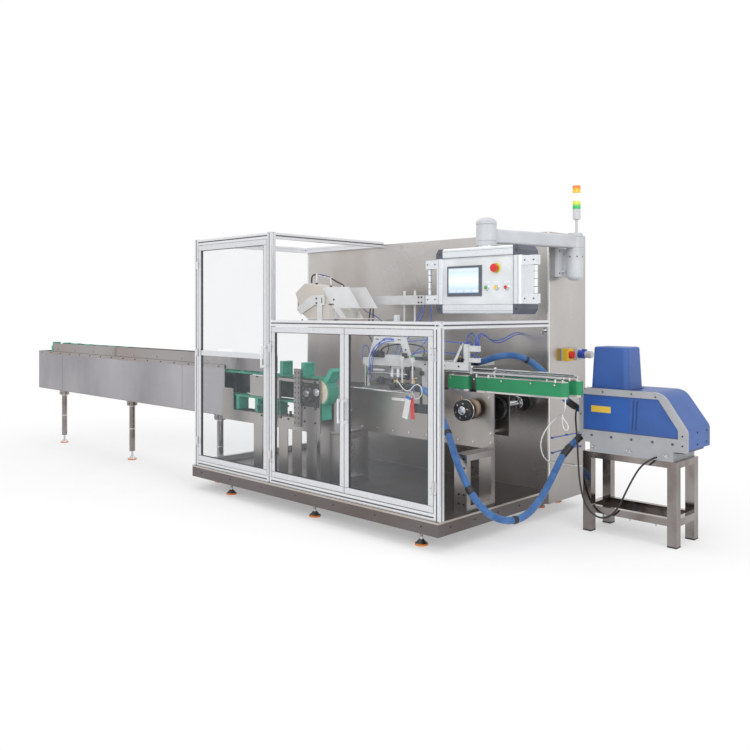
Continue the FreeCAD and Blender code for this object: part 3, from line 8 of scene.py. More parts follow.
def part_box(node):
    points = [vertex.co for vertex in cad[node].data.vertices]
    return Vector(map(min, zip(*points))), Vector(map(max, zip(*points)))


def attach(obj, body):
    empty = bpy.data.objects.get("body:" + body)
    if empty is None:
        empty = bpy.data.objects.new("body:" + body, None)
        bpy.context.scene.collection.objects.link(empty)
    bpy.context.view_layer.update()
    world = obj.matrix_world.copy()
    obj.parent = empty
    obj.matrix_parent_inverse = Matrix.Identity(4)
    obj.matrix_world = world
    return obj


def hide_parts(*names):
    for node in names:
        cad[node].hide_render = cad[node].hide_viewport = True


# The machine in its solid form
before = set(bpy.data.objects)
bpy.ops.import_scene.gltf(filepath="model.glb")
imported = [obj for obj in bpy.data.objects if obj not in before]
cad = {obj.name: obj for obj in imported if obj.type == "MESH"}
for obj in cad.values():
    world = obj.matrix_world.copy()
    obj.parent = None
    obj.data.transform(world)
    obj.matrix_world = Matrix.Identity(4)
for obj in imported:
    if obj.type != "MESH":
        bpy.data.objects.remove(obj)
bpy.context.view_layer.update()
scene = bpy.context.scene

# Photographer's camera, set off the discharge end at eye height, level, so the machine's
# uprights stay upright in the picture.
camera_data = bpy.data.cameras.new("camera")
camera_data.sensor_width = 36
camera_data.lens = 38.43
camera_data.shift_x = 0.0064
camera_data.shift_y = -0.085
camera_data.clip_end = 60
camera = bpy.data.objects.new("camera", camera_data)
camera.location = (3.2841, -3.8398, 1.470)
camera.rotation_euler = (math.radians(90), 0, math.radians(44.2))
scene.collection.objects.link(camera)
scene.camera = camera


# Heated glue hoses: rubber tubes in a blue woven cover that gathers into small folds,
# clamped with black wraps, from the glue guns to the melter's end.
def paint(name, colour, rough, metal=0.0):
    """A new finish; returns the material, its node tree and the shader."""
    material = bpy.data.materials.new(name)
    material.use_nodes = True
    tree = material.node_tree
    shader = tree.nodes["Principled BSDF"]
    shader.inputs["Base Color"].default_value = (*colour, 1)
    shader.inputs["Roughness"].default_value = rough
    shader.inputs["Metallic"].default_value = metal
    return material, tree, shader


def wire(tree, kind, settings=None, **inputs):
    """Adds a shader node; inputs are values or sockets, by the socket's name with _ for a space."""
    made = tree.nodes.new(kind)
    for key, value in (settings or {}).items():
        setattr(made, key, value)
    for key, value in inputs.items():
        by_number = key[0] == "i" and key[1:].isdigit()
        socket = made.inputs[int(key[1:])] if by_number else made.inputs[key.replace("_", " ")]
        if isinstance(value, bpy.types.NodeSocket):
            tree.links.new(value, socket)
        else:
            socket.default_value = value
    return made


def stretched(tree, size):
    """Object coordinates in metres, stretched by size along each axis."""
    where = wire(tree, "ShaderNodeTexCoord").outputs["Object"]
    return wire(tree, "ShaderNodeMapping", Vector=where, Scale=size).outputs["Vector"]


def spread(tree, value, stops):
    """A colour ramp over value; stops are (place, colour)."""
    ramp = wire(tree, "ShaderNodeValToRGB", Fac=value)
    while len(ramp.color_ramp.elements) < len(stops):
        ramp.color_ramp.elements.new(0.5)
    for element, (place, colour) in zip(ramp.color_ramp.elements, stops):
        element.position = place
        element.color = (*colour, 1)
    return ramp.outputs["Color"]


def raise_grain(tree, shader, height, distance, strength=1.0):
    bump = wire(tree, "ShaderNodeBump", Height=height, Distance=distance, Strength=strength)
    tree.links.new(bump.outputs["Normal"], shader.inputs["Normal"])


def shade(colour, factor):
    return tuple(min(1.0, channel * factor) for channel in colour)


def moulded(name, colour, rough, size=240.0, depth=0.0003, patch=6):
    """Plastic, rubber or paint: a fine grain of the given size and faint wide patches."""
    material, tree, shader = paint(name, colour, rough)
    fine = wire(tree, "ShaderNodeTexNoise", Vector=stretched(tree, (1, 1, 1)), Scale=size, Detail=3.0)
    wide = wire(tree, "ShaderNodeTexNoise", Vector=stretched(tree, (patch, patch, patch)), Scale=1.0, Detail=3.0)
    both = wire(tree, "ShaderNodeMath", {"operation": "ADD"}, i0=fine.outputs["Fac"], i1=wide.outputs["Fac"])
    half = wire(tree, "ShaderNodeMath", {"operation": "MULTIPLY"}, i0=both.outputs["Value"], i1=0.5)
    tree.links.new(spread(tree, half.outputs["Value"], [(0.36, shade(colour, 0.86)), (0.64, shade(colour, 1.12))]),
                   shader.inputs["Base Color"])
    raise_grain(tree, shader, fine.outputs["Fac"], depth, 0.35)
    return material


hose_cover, tree, shader = paint("blue woven hose cover", (0.05, 0.20, 0.52), 0.7)
along = wire(tree, "ShaderNodeTexCoord").outputs["UV"]
weave = wire(tree, "ShaderNodeTexWave", {"bands_direction": "DIAGONAL"}, Vector=along, Scale=60.0, Distortion=1.5)
smudge = wire(tree, "ShaderNodeTexNoise", Vector=stretched(tree, (9, 9, 9)), Scale=2.0, Detail=4.0)
mixed = wire(tree, "ShaderNodeMath", {"operation": "MULTIPLY"}, i0=weave.outputs["Fac"], i1=smudge.outputs["Fac"])
hose_stops = [(0.05, (0.012, 0.060, 0.21)), (0.30, (0.035, 0.140, 0.38)), (0.60, (0.085, 0.245, 0.54))]
tree.links.new(spread(tree, mixed.outputs["Value"], hose_stops), shader.inputs["Base Color"])
shader.inputs["Sheen Weight"].default_value = 0.3
raise_grain(tree, shader, weave.outputs["Fac"], 0.0006, 0.6)
black_rubber = moulded("black rubber", (0.018, 0.018, 0.02), 0.45, 420.0, 0.0002)


def finish_piece(name, mesh, material, body="root", bevel=0.0, smooth=True):
    """Links a mesh as a piece that rides on a body."""
    obj = bpy.data.objects.new(name, mesh)
    scene.collection.objects.link(obj)
    mesh.materials.clear()
    mesh.materials.append(material)
    if bevel:
        edge = obj.modifiers.new("edge", "BEVEL")
        edge.width = bevel
        edge.segments = 2
        edge.limit_method = "ANGLE"
        edge.angle_limit = math.radians(40)
        edge.harden_normals = True
    if smooth:
        for face in mesh.polygons:
            face.use_smooth = True
        mesh.set_sharp_from_angle(angle=math.radians(35))
    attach(obj, body)
    return obj


def route_curve(name, points):
    """The smooth line of a cord, with the route's points as its control points."""
    curve = bpy.data.curves.new(name, "CURVE")
    curve.dimensions = "3D"
    spline = curve.splines.new("NURBS")
    spline.points.add(len(points) - 1)
    for control, place in zip(spline.points, points):
        control.co = (*place, 1)
    spline.order_u = 3
    spline.use_endpoint_u = True
    spline.resolution_u = 12
    return curve


def read_line(points):
    """Points along the smooth line, as the curve itself gives them."""
    obj = bpy.data.objects.new("line", route_curve("line", points))
    scene.collection.objects.link(obj)
    bpy.context.view_layer.update()
    mesh = bpy.data.meshes.new_from_object(obj.evaluated_get(bpy.context.evaluated_depsgraph_get()))
    line = [vertex.co.copy() for vertex in mesh.vertices]
    bpy.data.objects.remove(obj)
    bpy.data.meshes.remove(mesh)
    return line


def lengths_along(line):
    done = [0.0]
    for start, end in zip(line, line[1:]):
        done.append(done[-1] + (end - start).length)
    return done


def even_line(line, step):
    """The same line with points every step."""
    done = lengths_along(line)
    count = max(2, round(done[-1] / step))
    out = []
    index = 0
    for number in range(count + 1):
        want = done[-1] * number / count
        while index < len(done) - 2 and done[index + 1] < want:
            index += 1
        share = (want - done[index]) / (done[index + 1] - done[index])
        out.append(line[index].lerp(line[index + 1], share))
    return out


def sweep(line, radii, sides=24):
    """A tube round a line with its own radius at each point, and a UV map along it."""
    bm = bmesh.new()
    layer = bm.loops.layers.uv.new("UVMap")
    done = lengths_along(line)
    side = None
    rings = []
    for index, here in enumerate(line):
        way = (line[min(index + 1, len(line) - 1)] - line[max(index - 1, 0)]).normalized()
        if side is None:
            side = way.orthogonal().normalized()
        side = (side - way * side.dot(way)).normalized()
        other = way.cross(side)
        ring = []
        for number in range(sides):
            angle = 2 * math.pi * number / sides
            ring.append(bm.verts.new(here + (side * math.cos(angle) + other * math.sin(angle)) * radii[index]))
        rings.append(ring)
    for index in range(len(rings) - 1):
        for number in range(sides):
            following = (number + 1) % sides
            face = bm.faces.new((rings[index][number], rings[index][following],
                                 rings[index + 1][following], rings[index + 1][number]))
            for loop, (u, v) in zip(face.loops, ((number, index), (number + 1, index),
                                                 (number + 1, index + 1), (number, index + 1))):
                loop[layer].uv = (u / sides * 0.15, done[v])
    bm.faces.new(list(reversed(rings[0])))
    bm.faces.new(rings[-1])
    bmesh.ops.recalc_face_normals(bm, faces=bm.faces)
    mesh = bpy.data.meshes.new("swept")
    bm.to_mesh(mesh)
    bm.free()
    return mesh


def band(line, middle, width, radius, name, material=black_rubber):
    """A wrap round a hose or cable, centred at a distance along it."""
    done = lengths_along(line)
    points = [place for place, run in zip(line, done) if abs(run - middle) <= width / 2]
    last = len(points) - 1
    swell = [radius * (1 - 0.12 * abs(2 * index / last - 1) ** 6) for index in range(len(points))]
    return finish_piece(name, sweep(points, swell), material)


def glue_hose(name, points, bands):
    line = even_line(read_line(points), 0.004)
    folds = [0.0226 + 0.0007 * math.sin(run * 420) + 0.0005 * math.sin(run * 171 + 1.3)
             for run in lengths_along(line)]
    hose = finish_piece(f"{name}_cover", sweep(line, folds, 32), hose_cover)
    wraps = [band(line, place, width, 0.0252, f"{name}_wrap_{count}") for count, (place, width) in enumerate(bands)]
    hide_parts(name)


lower_way = Vector((-0.50, -0.55, -0.67)).normalized()
lower_ball = Vector((0.506, 1.100, 0.625))
lower_points = [(-0.380, 0.360, 0.940), (-0.300, 0.360, 0.940), (-0.210, 0.346, 0.900), (-0.130, 0.325, 0.820),
                (-0.050, 0.290, 0.730), (0.040, 0.238, 0.645), (0.140, 0.177, 0.520), (0.225, 0.165, 0.395),
                (0.300, 0.180, 0.280), (0.365, 0.235, 0.200), (0.415, 0.330, 0.160), (0.445, 0.440, 0.160),
                (0.455, 0.555, 0.195), (0.450, 0.670, 0.255), (0.440, 0.780, 0.325), (0.428, 0.880, 0.400),
                tuple(lower_ball + lower_way * 0.170), tuple(lower_ball + lower_way * 0.060)]
glue_hose("lower_hose", lower_points, [(0.05, 0.06), (0.50, 0.04), (0.92, 0.05), (1.30, 0.04), (2.03, 0.10)])
upper_way = Vector((-0.75, -0.50, 0.43)).normalized()
upper_ball = Vector((0.506, 1.200, 0.760))
upper_points = [(-0.150, 0.710, 1.110), (-0.072, 0.710, 1.110), (0.010, 0.730, 1.142), (0.088, 0.778, 1.166),
                (0.158, 0.842, 1.162), (0.222, 0.908, 1.120), (0.284, 0.975, 1.045), (0.336, 1.047, 0.950),
                tuple(upper_ball + upper_way * 0.170), tuple(upper_ball + upper_way * 0.060)]
glue_hose("upper_hose", upper_points, [(0.05, 0.05), (0.42, 0.03), (0.87, 0.08)])


# Melter's mains cable in a black jacket, hanging in a loop under the stand's top, and the
# thin white sensor cable from the discharge belts down to the cabinet.
cable_white = moulded("white cable jacket", (0.76, 0.76, 0.73), 0.4, 90.0)


def cable(name, points, diameter, material, node=None):
    """A round cable or air tube along its route; a node is the solid that it stands for."""
    curve = route_curve(name, points)
    curve.bevel_depth = diameter / 2
    curve.bevel_resolution = 3
    curve.use_fill_caps = True
    curve.materials.append(material)
    obj = bpy.data.objects.new(f"{name}_jacket", curve)
    scene.collection.objects.link(obj)
    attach(obj, "root")
    if node:
        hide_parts(node)
    return obj


power_points = [(0.546, 1.075, 0.835), (0.508, 1.075, 0.835), (0.480, 1.062, 0.803), (0.484, 1.045, 0.742),
                (0.502, 1.027, 0.665), (0.518, 1.014, 0.560), (0.529, 1.004, 0.440), (0.548, 0.990, 0.320),
                (0.578, 0.982, 0.215), (0.625, 0.978, 0.145), (0.690, 0.978, 0.112), (0.755, 0.983, 0.122),
                (0.808, 0.986, 0.172), (0.850, 0.988, 0.248), (0.890, 0.985, 0.332), (0.935, 0.974, 0.410),
                (0.980, 0.955, 0.475), (1.028, 0.938, 0.522), (1.066, 0.970, 0.552), (1.066, 1.020, 0.552)]
cable("power_cable", power_points, 0.012, black_rubber, "power_cable")
signal_points = [(0.690, 0.564, 0.925), (0.690, 0.564, 0.880), (0.655, 0.612, 0.845), (0.605, 0.680, 0.815),
                 (0.550, 0.742, 0.797), (0.495, 0.775, 0.770), (0.445, 0.780, 0.722), (0.405, 0.768, 0.660),
                 (0.380, 0.770, 0.590), (0.370, 0.805, 0.520), (0.352, 0.875, 0.468), (0.325, 0.975, 0.432),
                 (0.302, 1.090, 0.405), (0.290, 1.210, 0.380), (0.288, 1.330, 0.355), (0.290, 1.440, 0.335),
                 (0.270, 1.516, 0.322), (0.210, 1.516, 0.322)]
cable("signal_cable", signal_points, 0.008, cable_white, "signal_cable")


# Base tray of folded, brushed stainless sheet over cross members; the satin has cloudy stains
# and a soft grain along the length, and screws with sockets hold its top.
def coat(node, material):
    """Gives a solid its finish."""
    mesh = cad[node].data
    mesh.materials.clear()
    mesh.materials.append(material)
    mesh.polygons.foreach_set("material_index", [0] * len(mesh.polygons))


def brushed(name, colour, rough, grain, cloud=1.6, stain=0.16, metal=1.0, tint=(1.06, 0.98, 0.92), low=1.0):
    """Brushed sheet: grain stretches each axis, cloud sizes the stains, low is the painted shade at the floor."""
    material, tree, shader = paint(name, colour, rough, metal)
    lines = wire(tree, "ShaderNodeTexNoise", Vector=stretched(tree, grain), Scale=60.0, Detail=3.0)
    clouds = wire(tree, "ShaderNodeTexNoise", Vector=stretched(tree, (cloud, cloud, cloud * 0.6)), Scale=1.0,
                  Detail=5.0, Roughness=0.55)
    dark = tuple(channel * (1 - stain) * tone for channel, tone in zip(colour, tint))
    light = shade(colour, 1 + stain * 0.6)
    base = spread(tree, clouds.outputs["Fac"], [(0.32, dark), (0.52, colour), (0.72, light)])
    streak = wire(tree, "ShaderNodeMapRange", Value=lines.outputs["Fac"], To_Min=0.93, To_Max=1.06)
    # Painted shade: the colour darkens linearly from 2 m down to low at the floor, and varies with the grain streaks.
    height = wire(tree, "ShaderNodeSeparateXYZ", Vector=stretched(tree, (1, 1, 1)))
    painted_floor_shade = wire(tree, "ShaderNodeMapRange", Value=height.outputs["Z"], From_Max=2.0, To_Min=low)
    varied = wire(tree, "ShaderNodeMath", {"operation": "MULTIPLY"}, i0=painted_floor_shade.outputs["Result"],
                i1=streak.outputs["Result"])
    toned = wire(tree, "ShaderNodeVectorMath", {"operation": "SCALE"}, i0=base, Scale=varied.outputs["Value"])
    tree.links.new(toned.outputs["Vector"], shader.inputs["Base Color"])
    dull = wire(tree, "ShaderNodeMapRange", Value=clouds.outputs["Fac"], From_Min=0.3, From_Max=0.7,
                To_Min=rough * 1.2, To_Max=rough * 0.8)
    tree.links.new(dull.outputs["Result"], shader.inputs["Roughness"])
    raise_grain(tree, shader, lines.outputs["Fac"], 0.0002, 0.35)
    return material


def screw_heads():
    """Geometry nodes that set a socket-head screw on each point, facing the point's own way."""
    tree = bpy.data.node_groups.new("screw heads", "GeometryNodeTree")
    sockets = {}
    for label, kind in (("Seats", "Geometry"), ("Radius", "Float"), ("Height", "Float"), ("Socket share", "Float"),
                        ("Sides", "Int"), ("Finish", "Material")):
        made = tree.interface.new_socket(name=label, in_out="INPUT", socket_type=f"NodeSocket{kind}")
        sockets[label] = made.identifier
    tree.interface.new_socket(name="Screws", in_out="OUTPUT", socket_type="NodeSocketGeometry")
    given = wire(tree, "NodeGroupInput").outputs
    head = wire(tree, "GeometryNodeMeshCylinder", Vertices=given["Sides"], Radius=given["Radius"],
                Depth=given["Height"])
    lifted = wire(tree, "ShaderNodeMath", {"operation": "MULTIPLY"}, i0=given["Height"], i1=0.5)
    up = wire(tree, "ShaderNodeCombineXYZ", Z=lifted.outputs["Value"])
    seated = wire(tree, "GeometryNodeTransform", Geometry=head.outputs["Mesh"], Translation=up.outputs["Vector"])
    rim = wire(tree, "GeometryNodeExtrudeMesh", Mesh=seated.outputs["Geometry"], Selection=head.outputs["Top"],
               Offset_Scale=0.0)
    narrowed = wire(tree, "GeometryNodeScaleElements", Geometry=rim.outputs["Mesh"], Selection=rim.outputs["Top"],
                    Scale=given["Socket share"])
    depth = wire(tree, "ShaderNodeMath", {"operation": "MULTIPLY"}, i0=given["Height"], i1=-0.5)
    socket = wire(tree, "GeometryNodeExtrudeMesh", Mesh=narrowed.outputs["Geometry"], Selection=rim.outputs["Top"],
                  Offset_Scale=depth.outputs["Value"])
    way = wire(tree, "GeometryNodeInputNamedAttribute", {"data_type": "FLOAT_VECTOR"}, Name="way")
    facing = wire(tree, "FunctionNodeAlignRotationToVector", {"axis": "Z"}, Vector=way.outputs["Attribute"])
    placed = wire(tree, "GeometryNodeInstanceOnPoints", Points=given["Seats"], Instance=socket.outputs["Mesh"],
                  Rotation=facing.outputs["Rotation"])
    real = wire(tree, "GeometryNodeRealizeInstances", Geometry=placed.outputs["Instances"])
    finished = wire(tree, "GeometryNodeSetMaterial", Geometry=real.outputs["Geometry"], Material=given["Finish"])
    wire(tree, "NodeGroupOutput", Screws=finished.outputs["Geometry"])
    return tree, sockets


screw_tree, screw_sockets = screw_heads()


def made_plain(obj):
    """The plain mesh that an object's modifiers give."""
    bpy.context.view_layer.update()
    mesh = bpy.data.meshes.new_from_object(obj.evaluated_get(bpy.context.evaluated_depsgraph_get()))
    bpy.data.objects.remove(obj)
    return mesh


def seats(name, rows):
    """Points with a way of their own, as the geometry nodes take them."""
    points = bpy.data.meshes.new(name)
    points.from_pydata([tuple(seat) for seat, way in rows], [], [])
    ways = points.attributes.new("way", "FLOAT_VECTOR", "POINT")
    for entry, (seat, way) in zip(ways.data, rows):
        entry.vector = way
    obj = bpy.data.objects.new(name, points)
    scene.collection.objects.link(obj)
    return obj


def screws(name, rows, material, radius=0.005, height=0.004, body="root", share=0.55, sides=12):
    """Screws in one piece; rows hold each one's seat and the way that its head faces."""
    obj = seats(name, rows)
    modifier = obj.modifiers.new("screws", "NODES")
    modifier.node_group = screw_tree
    for label, value in (("Radius", radius), ("Height", height), ("Socket share", share), ("Sides", sides),
                         ("Finish", material)):
        modifier[screw_sockets[label]] = value
    return finish_piece(name, made_plain(obj), material, body)


def block(bm, x, y, z):
    """A block between two values along each axis."""
    corner = [bm.verts.new((a, b, c)) for c in z for b in y for a in x]
    for face in ((0, 2, 3, 1), (4, 5, 7, 6), (0, 1, 5, 4), (2, 6, 7, 3), (0, 4, 6, 2), (1, 3, 7, 5)):
        bm.faces.new([corner[number] for number in face])


def turned(bm, at, way, profile, sides=32):
    """A lathe-turned form along a way from a point; profile holds (distance, radius)."""
    way = Vector(way).normalized()
    side = way.orthogonal().normalized()
    other = way.cross(side)
    rings = []
    for run, radius in profile:
        centre = Vector(at) + way * run
        if radius == 0:
            rings.append([bm.verts.new(centre)])
            continue
        rings.append([bm.verts.new(centre + (side * math.cos(angle) + other * math.sin(angle)) * radius)
                      for angle in (2 * math.pi * number / sides for number in range(sides))])
    for low, high in zip(rings, rings[1:]):
        for number in range(sides):
            following = (number + 1) % sides
            if len(low) == 1:
                bm.faces.new((low[0], high[number], high[following]))
            elif len(high) == 1:
                bm.faces.new((low[number], high[0], low[following]))
            else:
                bm.faces.new((low[number], high[number], high[following], low[following]))
    for ring in (rings[0], rings[-1]):
        if len(ring) > 1:
            bm.faces.new(ring)


def bar(bm, start, end, radius, edge=0.0005, sides=20):
    """A round bar between two points, with a small chamfer at each end."""
    length = (Vector(end) - Vector(start)).length
    turned(bm, start, Vector(end) - Vector(start),
           [(0, radius - edge), (edge, radius), (length - edge, radius), (length, radius - edge)], sides)


def piece(name, bm, material, body="root", bevel=0.0):
    """The drawn mesh as a piece of the machine."""
    bmesh.ops.recalc_face_normals(bm, faces=bm.faces)
    mesh = bpy.data.meshes.new(name)
    bm.to_mesh(mesh)
    bm.free()
    return finish_piece(name, mesh, material, body, bevel)


base_sheet = brushed("brown grey brushed sheet", (0.165, 0.150, 0.148), 0.42, (0.5, 6, 6))
coat("base_tray", base_sheet)
dark_screw = moulded("black oxide screw", (0.03, 0.03, 0.032), 0.4, 300.0)
base_low, base_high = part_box("base_tray")
# Painted highlight: strips of brighter sheet along the tray's top edges, where its folds catch the light.
base_highlight_strips = bmesh.new()
for y in (base_low[1] - 0.002, base_high[1] - 0.001):
    block(base_highlight_strips, (base_low[0], base_high[0]), (y, y + 0.003), (base_high[2] - 0.012, base_high[2] + 0.001))
for x in (base_low[0] - 0.001, base_high[0] - 0.002):
    block(base_highlight_strips, (x, x + 0.003), (base_low[1], base_high[1]), (base_high[2] - 0.012, base_high[2] + 0.001))
base_edge_highlight = brushed("painted highlight on folded edge", (0.50, 0.46, 0.43), 0.3, (0.5, 6, 6))
piece("base_tray_edge_highlights", base_highlight_strips, base_edge_highlight, bevel=0.0006)
base_screws = [((base_low[0] + 0.13 + 0.395 * count, base_low[1], 0.146), (0, -1, 0)) for count in range(7)]
base_screws += [((base_high[0], base_low[1] + 0.12 + 0.25 * count, 0.146), (1, 0, 0)) for count in range(5)]
screws("base_tray_screws", base_screws, dark_screw, 0.0055, 0.003)


# Levelling feet: bright turned steel cups on threaded stems with lock nuts, standing on
# orange rubber soles.
bright_steel, tree, shader = paint("bright turned steel", (0.58, 0.58, 0.60), 0.2, 1.0)
lathe_marks = wire(tree, "ShaderNodeTexNoise", Vector=stretched(tree, (4, 4, 160)), Scale=8.0, Detail=2.0)
tree.links.new(spread(tree, lathe_marks.outputs["Fac"], [(0.3, (0.44, 0.44, 0.46)), (0.7, (0.70, 0.70, 0.72))]),
               shader.inputs["Base Color"])
raise_grain(tree, shader, lathe_marks.outputs["Fac"], 0.0002, 0.4)
coat("leveling_feet", bright_steel)
sole_rubber = moulded("orange sole rubber", (0.72, 0.22, 0.05), 0.6, 260.0)
coat("foot_soles", sole_rubber)
lock_nuts = bmesh.new()
threads = bmesh.new()
for x, y in [(0.0, 0.0), (-1.003, 0.0), (-2.006, 0.0)]:
    turned(lock_nuts, (x, y, 0.084), (0, 0, 1), [(0, 0.0165), (0.002, 0.019), (0.012, 0.019), (0.014, 0.0165)], 6)
    turned(threads, (x, y, 0.052), (0, 0, 1),
           [(step * 0.001, 0.0108 if step % 2 else 0.0098) for step in range(32)], 16)
piece("foot_lock_nuts", lock_nuts, bright_steel, bevel=0.0006)
piece("foot_threads", threads, bright_steel)


# Cabinet of welded stainless sheet, brushed upright, with hinged doors behind that close with
# quarter-turn locks; cables enter at a bright gland near the top of its front.
# low=0.55 paints shade on the cabinet sheet, darker towards the floor.
cabinet_sheet = brushed("warm grey cabinet sheet", (0.56, 0.535, 0.52), 0.30, (6, 6, 0.5), 1.1, 0.24, low=0.55)
coat("back_cabinet", cabinet_sheet)
coat("rear_doors", cabinet_sheet)
cabinet_low, cabinet_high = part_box("back_cabinet")
# Painted highlight: pale strips of sheet on the cabinet's front corners stand for light along its edges.
edge_highlight_sheet = brushed("pale sheet of painted edge highlights", (0.80, 0.79, 0.77), 0.25, (6, 6, 0.5), 1.1, 0.06)
edges = bmesh.new()
for x in (cabinet_low[0] - 0.001, cabinet_high[0] - 0.013):
    block(edges, (x, x + 0.014), (cabinet_low[1] - 0.001, cabinet_low[1] + 0.012),
          (cabinet_low[2] + 0.1, cabinet_high[2] - 0.001))
piece("cabinet_edge_highlights", edges, edge_highlight_sheet, bevel=0.001)
door_low, door_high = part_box("rear_doors")
locks = bmesh.new()
hinge_leaves = bmesh.new()
for count in range(4):
    door_x = door_low[0] + (door_high[0] - door_low[0]) * count / 4
    for z in (0.45, 1.65):
        turned(locks, (door_x + 0.05, door_high[1] - 0.001, z), (0, 1, 0),
               [(0, 0.014), (0.003, 0.0145), (0.005, 0.012), (0.005, 0.006), (0.003, 0.0055), (0.003, 0)])
        bar(hinge_leaves, (door_x + 0.622, door_high[1] + 0.003, z - 0.04),
            (door_x + 0.622, door_high[1] + 0.003, z + 0.04), 0.006)
piece("rear_door_locks", locks, bright_steel)
piece("rear_door_hinges", hinge_leaves, bright_steel)
gland = bmesh.new()
for x, z, radius in ((0.180, 1.334, 0.017), (0.156, 1.312, 0.010)):
    turned(gland, (x, cabinet_low[1] + 0.001, z), (0, -1, 0),
           [(0, radius), (0.008, radius), (0.010, radius * 0.85), (0.016, radius * 0.85), (0.018, radius * 0.6),
            (0.024, radius * 0.55), (0.024, 0)], 6)
piece("cabinet_glands", gland, bright_steel, bevel=0.0008)
tube_blue, tree, shader = paint("blue air tube", (0.02, 0.09, 0.62), 0.25)
tint = wire(tree, "ShaderNodeTexNoise", Vector=stretched(tree, (1, 1, 1)), Scale=30.0, Detail=2.0)
tree.links.new(spread(tree, tint.outputs["Fac"], [(0.3, (0.015, 0.07, 0.50)), (0.7, (0.03, 0.14, 0.75))]),
               shader.inputs["Base Color"])
wall_tubes = bmesh.new()
for z, far_z in ((0.560, 0.556), (0.452, 0.456)):
    bar(wall_tubes, (cabinet_high[0] + 0.004, 1.19, z), (cabinet_high[0] + 0.004, 1.60, far_z), 0.003)
    for y in (1.20, 1.40, 1.59):
        block(wall_tubes, (cabinet_high[0] - 0.001, cabinet_high[0] + 0.009), (y - 0.006, y + 0.006),
              (z - 0.006, z + 0.006))
piece("wall_air_tubes", wall_tubes, tube_blue)


# Guard frame of anodised aluminium profile with a slot along each side, closed by plastic
# end caps and joined by screwed angle pieces.
def anodised(name, colour, rough):
    material, tree, shader = paint(name, colour, rough, 0.85)
    fine = wire(tree, "ShaderNodeTexNoise", Vector=stretched(tree, (7, 7, 1)), Scale=45.0, Detail=3.0)
    tree.links.new(spread(tree, fine.outputs["Fac"], [(0.3, shade(colour, 0.9)), (0.7, shade(colour, 1.07))]),
                   shader.inputs["Base Color"])
    raise_grain(tree, shader, fine.outputs["Fac"], 0.0001, 0.25)
    return material


profile_metal = anodised("anodised profile", (0.76, 0.77, 0.79), 0.32)
for node in ("cage_posts", "tall_rails", "low_rails"):
    coat(node, profile_metal)
post_low, post_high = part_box("cage_posts")
PROFILE = 0.045
cap_plastic = moulded("pale end cap", (0.55, 0.57, 0.60), 0.45)
caps = bmesh.new()
angles = bmesh.new()
angle_screws = []
for x, top in ((post_low[0], post_high[2]), (-1.450, post_high[2]), (post_high[0] - PROFILE, 1.405)):
    block(caps, (x + 0.0005, x + PROFILE - 0.0005), (post_low[1] + 0.0005, post_high[1] - 0.0005), (top, top + 0.004))
for x, side, z in ((post_low[0] + PROFILE, 1, 0.235), (-1.450, -1, 0.235), (-1.405, 1, 0.235),
                   (post_high[0] - PROFILE, -1, 0.235)):
    block(angles, sorted((x, x + side * 0.038)), (post_high[1] - 0.036, post_high[1] - 0.009), (z, z + 0.004))
    block(angles, sorted((x, x + side * 0.004)), (post_high[1] - 0.036, post_high[1] - 0.009), (z, z + 0.038))
    angle_screws += [((x + side * 0.026, post_high[1] - 0.0225, z + 0.004), (0, 0, 1)),
                     ((x + side * 0.004, post_high[1] - 0.0225, z + 0.026), (side, 0, 0))]
# Painted shade: dark strips at the bottom of the profiles' slots stand for the shade in the grooves.
slot_shade_strips = bmesh.new()
SLOT, SLOT_FACE = 0.010, 0.0012
front_y = (post_low[1] + SLOT_FACE, post_low[1] + SLOT_FACE + 0.001)
for x, top in ((post_low[0], post_high[2]), (-1.450, post_high[2]), (post_high[0] - PROFILE, 1.405)):
    middle = x + PROFILE / 2
    block(slot_shade_strips, (middle - SLOT / 2, middle + SLOT / 2), front_y, (post_low[2], top - 0.002))
for side_x in (post_high[0] - SLOT_FACE - 0.001, post_low[0] + SLOT_FACE):
    top = 1.405 if side_x > 0 else post_high[2]
    block(slot_shade_strips, (side_x, side_x + 0.001), (post_low[1] + 0.0175, post_low[1] + 0.0275),
          (post_low[2], top - 0.002))
block(slot_shade_strips, (post_low[0] + PROFILE, -1.450), front_y, (post_high[2] - 0.0275, post_high[2] - 0.0175))
block(slot_shade_strips, (-1.405, post_high[0] - PROFILE), front_y, (1.3775, 1.3875))
block(slot_shade_strips, (post_low[0] + PROFILE, -1.450), front_y, (0.2075, 0.2175))
block(slot_shade_strips, (-1.405, post_high[0] - PROFILE), front_y, (0.2075, 0.2175))
block(slot_shade_strips, (post_high[0] - SLOT_FACE - 0.001, post_high[0] - SLOT_FACE), (post_high[1] + 0.002, 1.149),
      (1.3775, 1.3875))
block(slot_shade_strips, (-1.405 - SLOT_FACE - 0.001, -1.405 - SLOT_FACE), (post_high[1] + 0.002, 1.149),
      (post_high[2] - 0.0275, post_high[2] - 0.0175))
slot_shade_sheet = moulded("painted shade in profile slots", (0.10, 0.10, 0.11), 0.55, 200.0)
piece("profile_slot_shade", slot_shade_strips, slot_shade_sheet)
piece("profile_end_caps", caps, cap_plastic, bevel=0.0012)
piece("frame_angles", angles, profile_metal, bevel=0.0008)
screws("frame_angle_screws", angle_screws, dark_screw, 0.0062, 0.005)
sensor = bmesh.new()
block(sensor, (-0.172, -0.146), (-0.070, -0.040), (1.405, 1.446))
block(sensor, (-0.176, -0.142), (-0.072, -0.038), (1.405, 1.410))
piece("door_switch", sensor, cap_plastic, bevel=0.002)


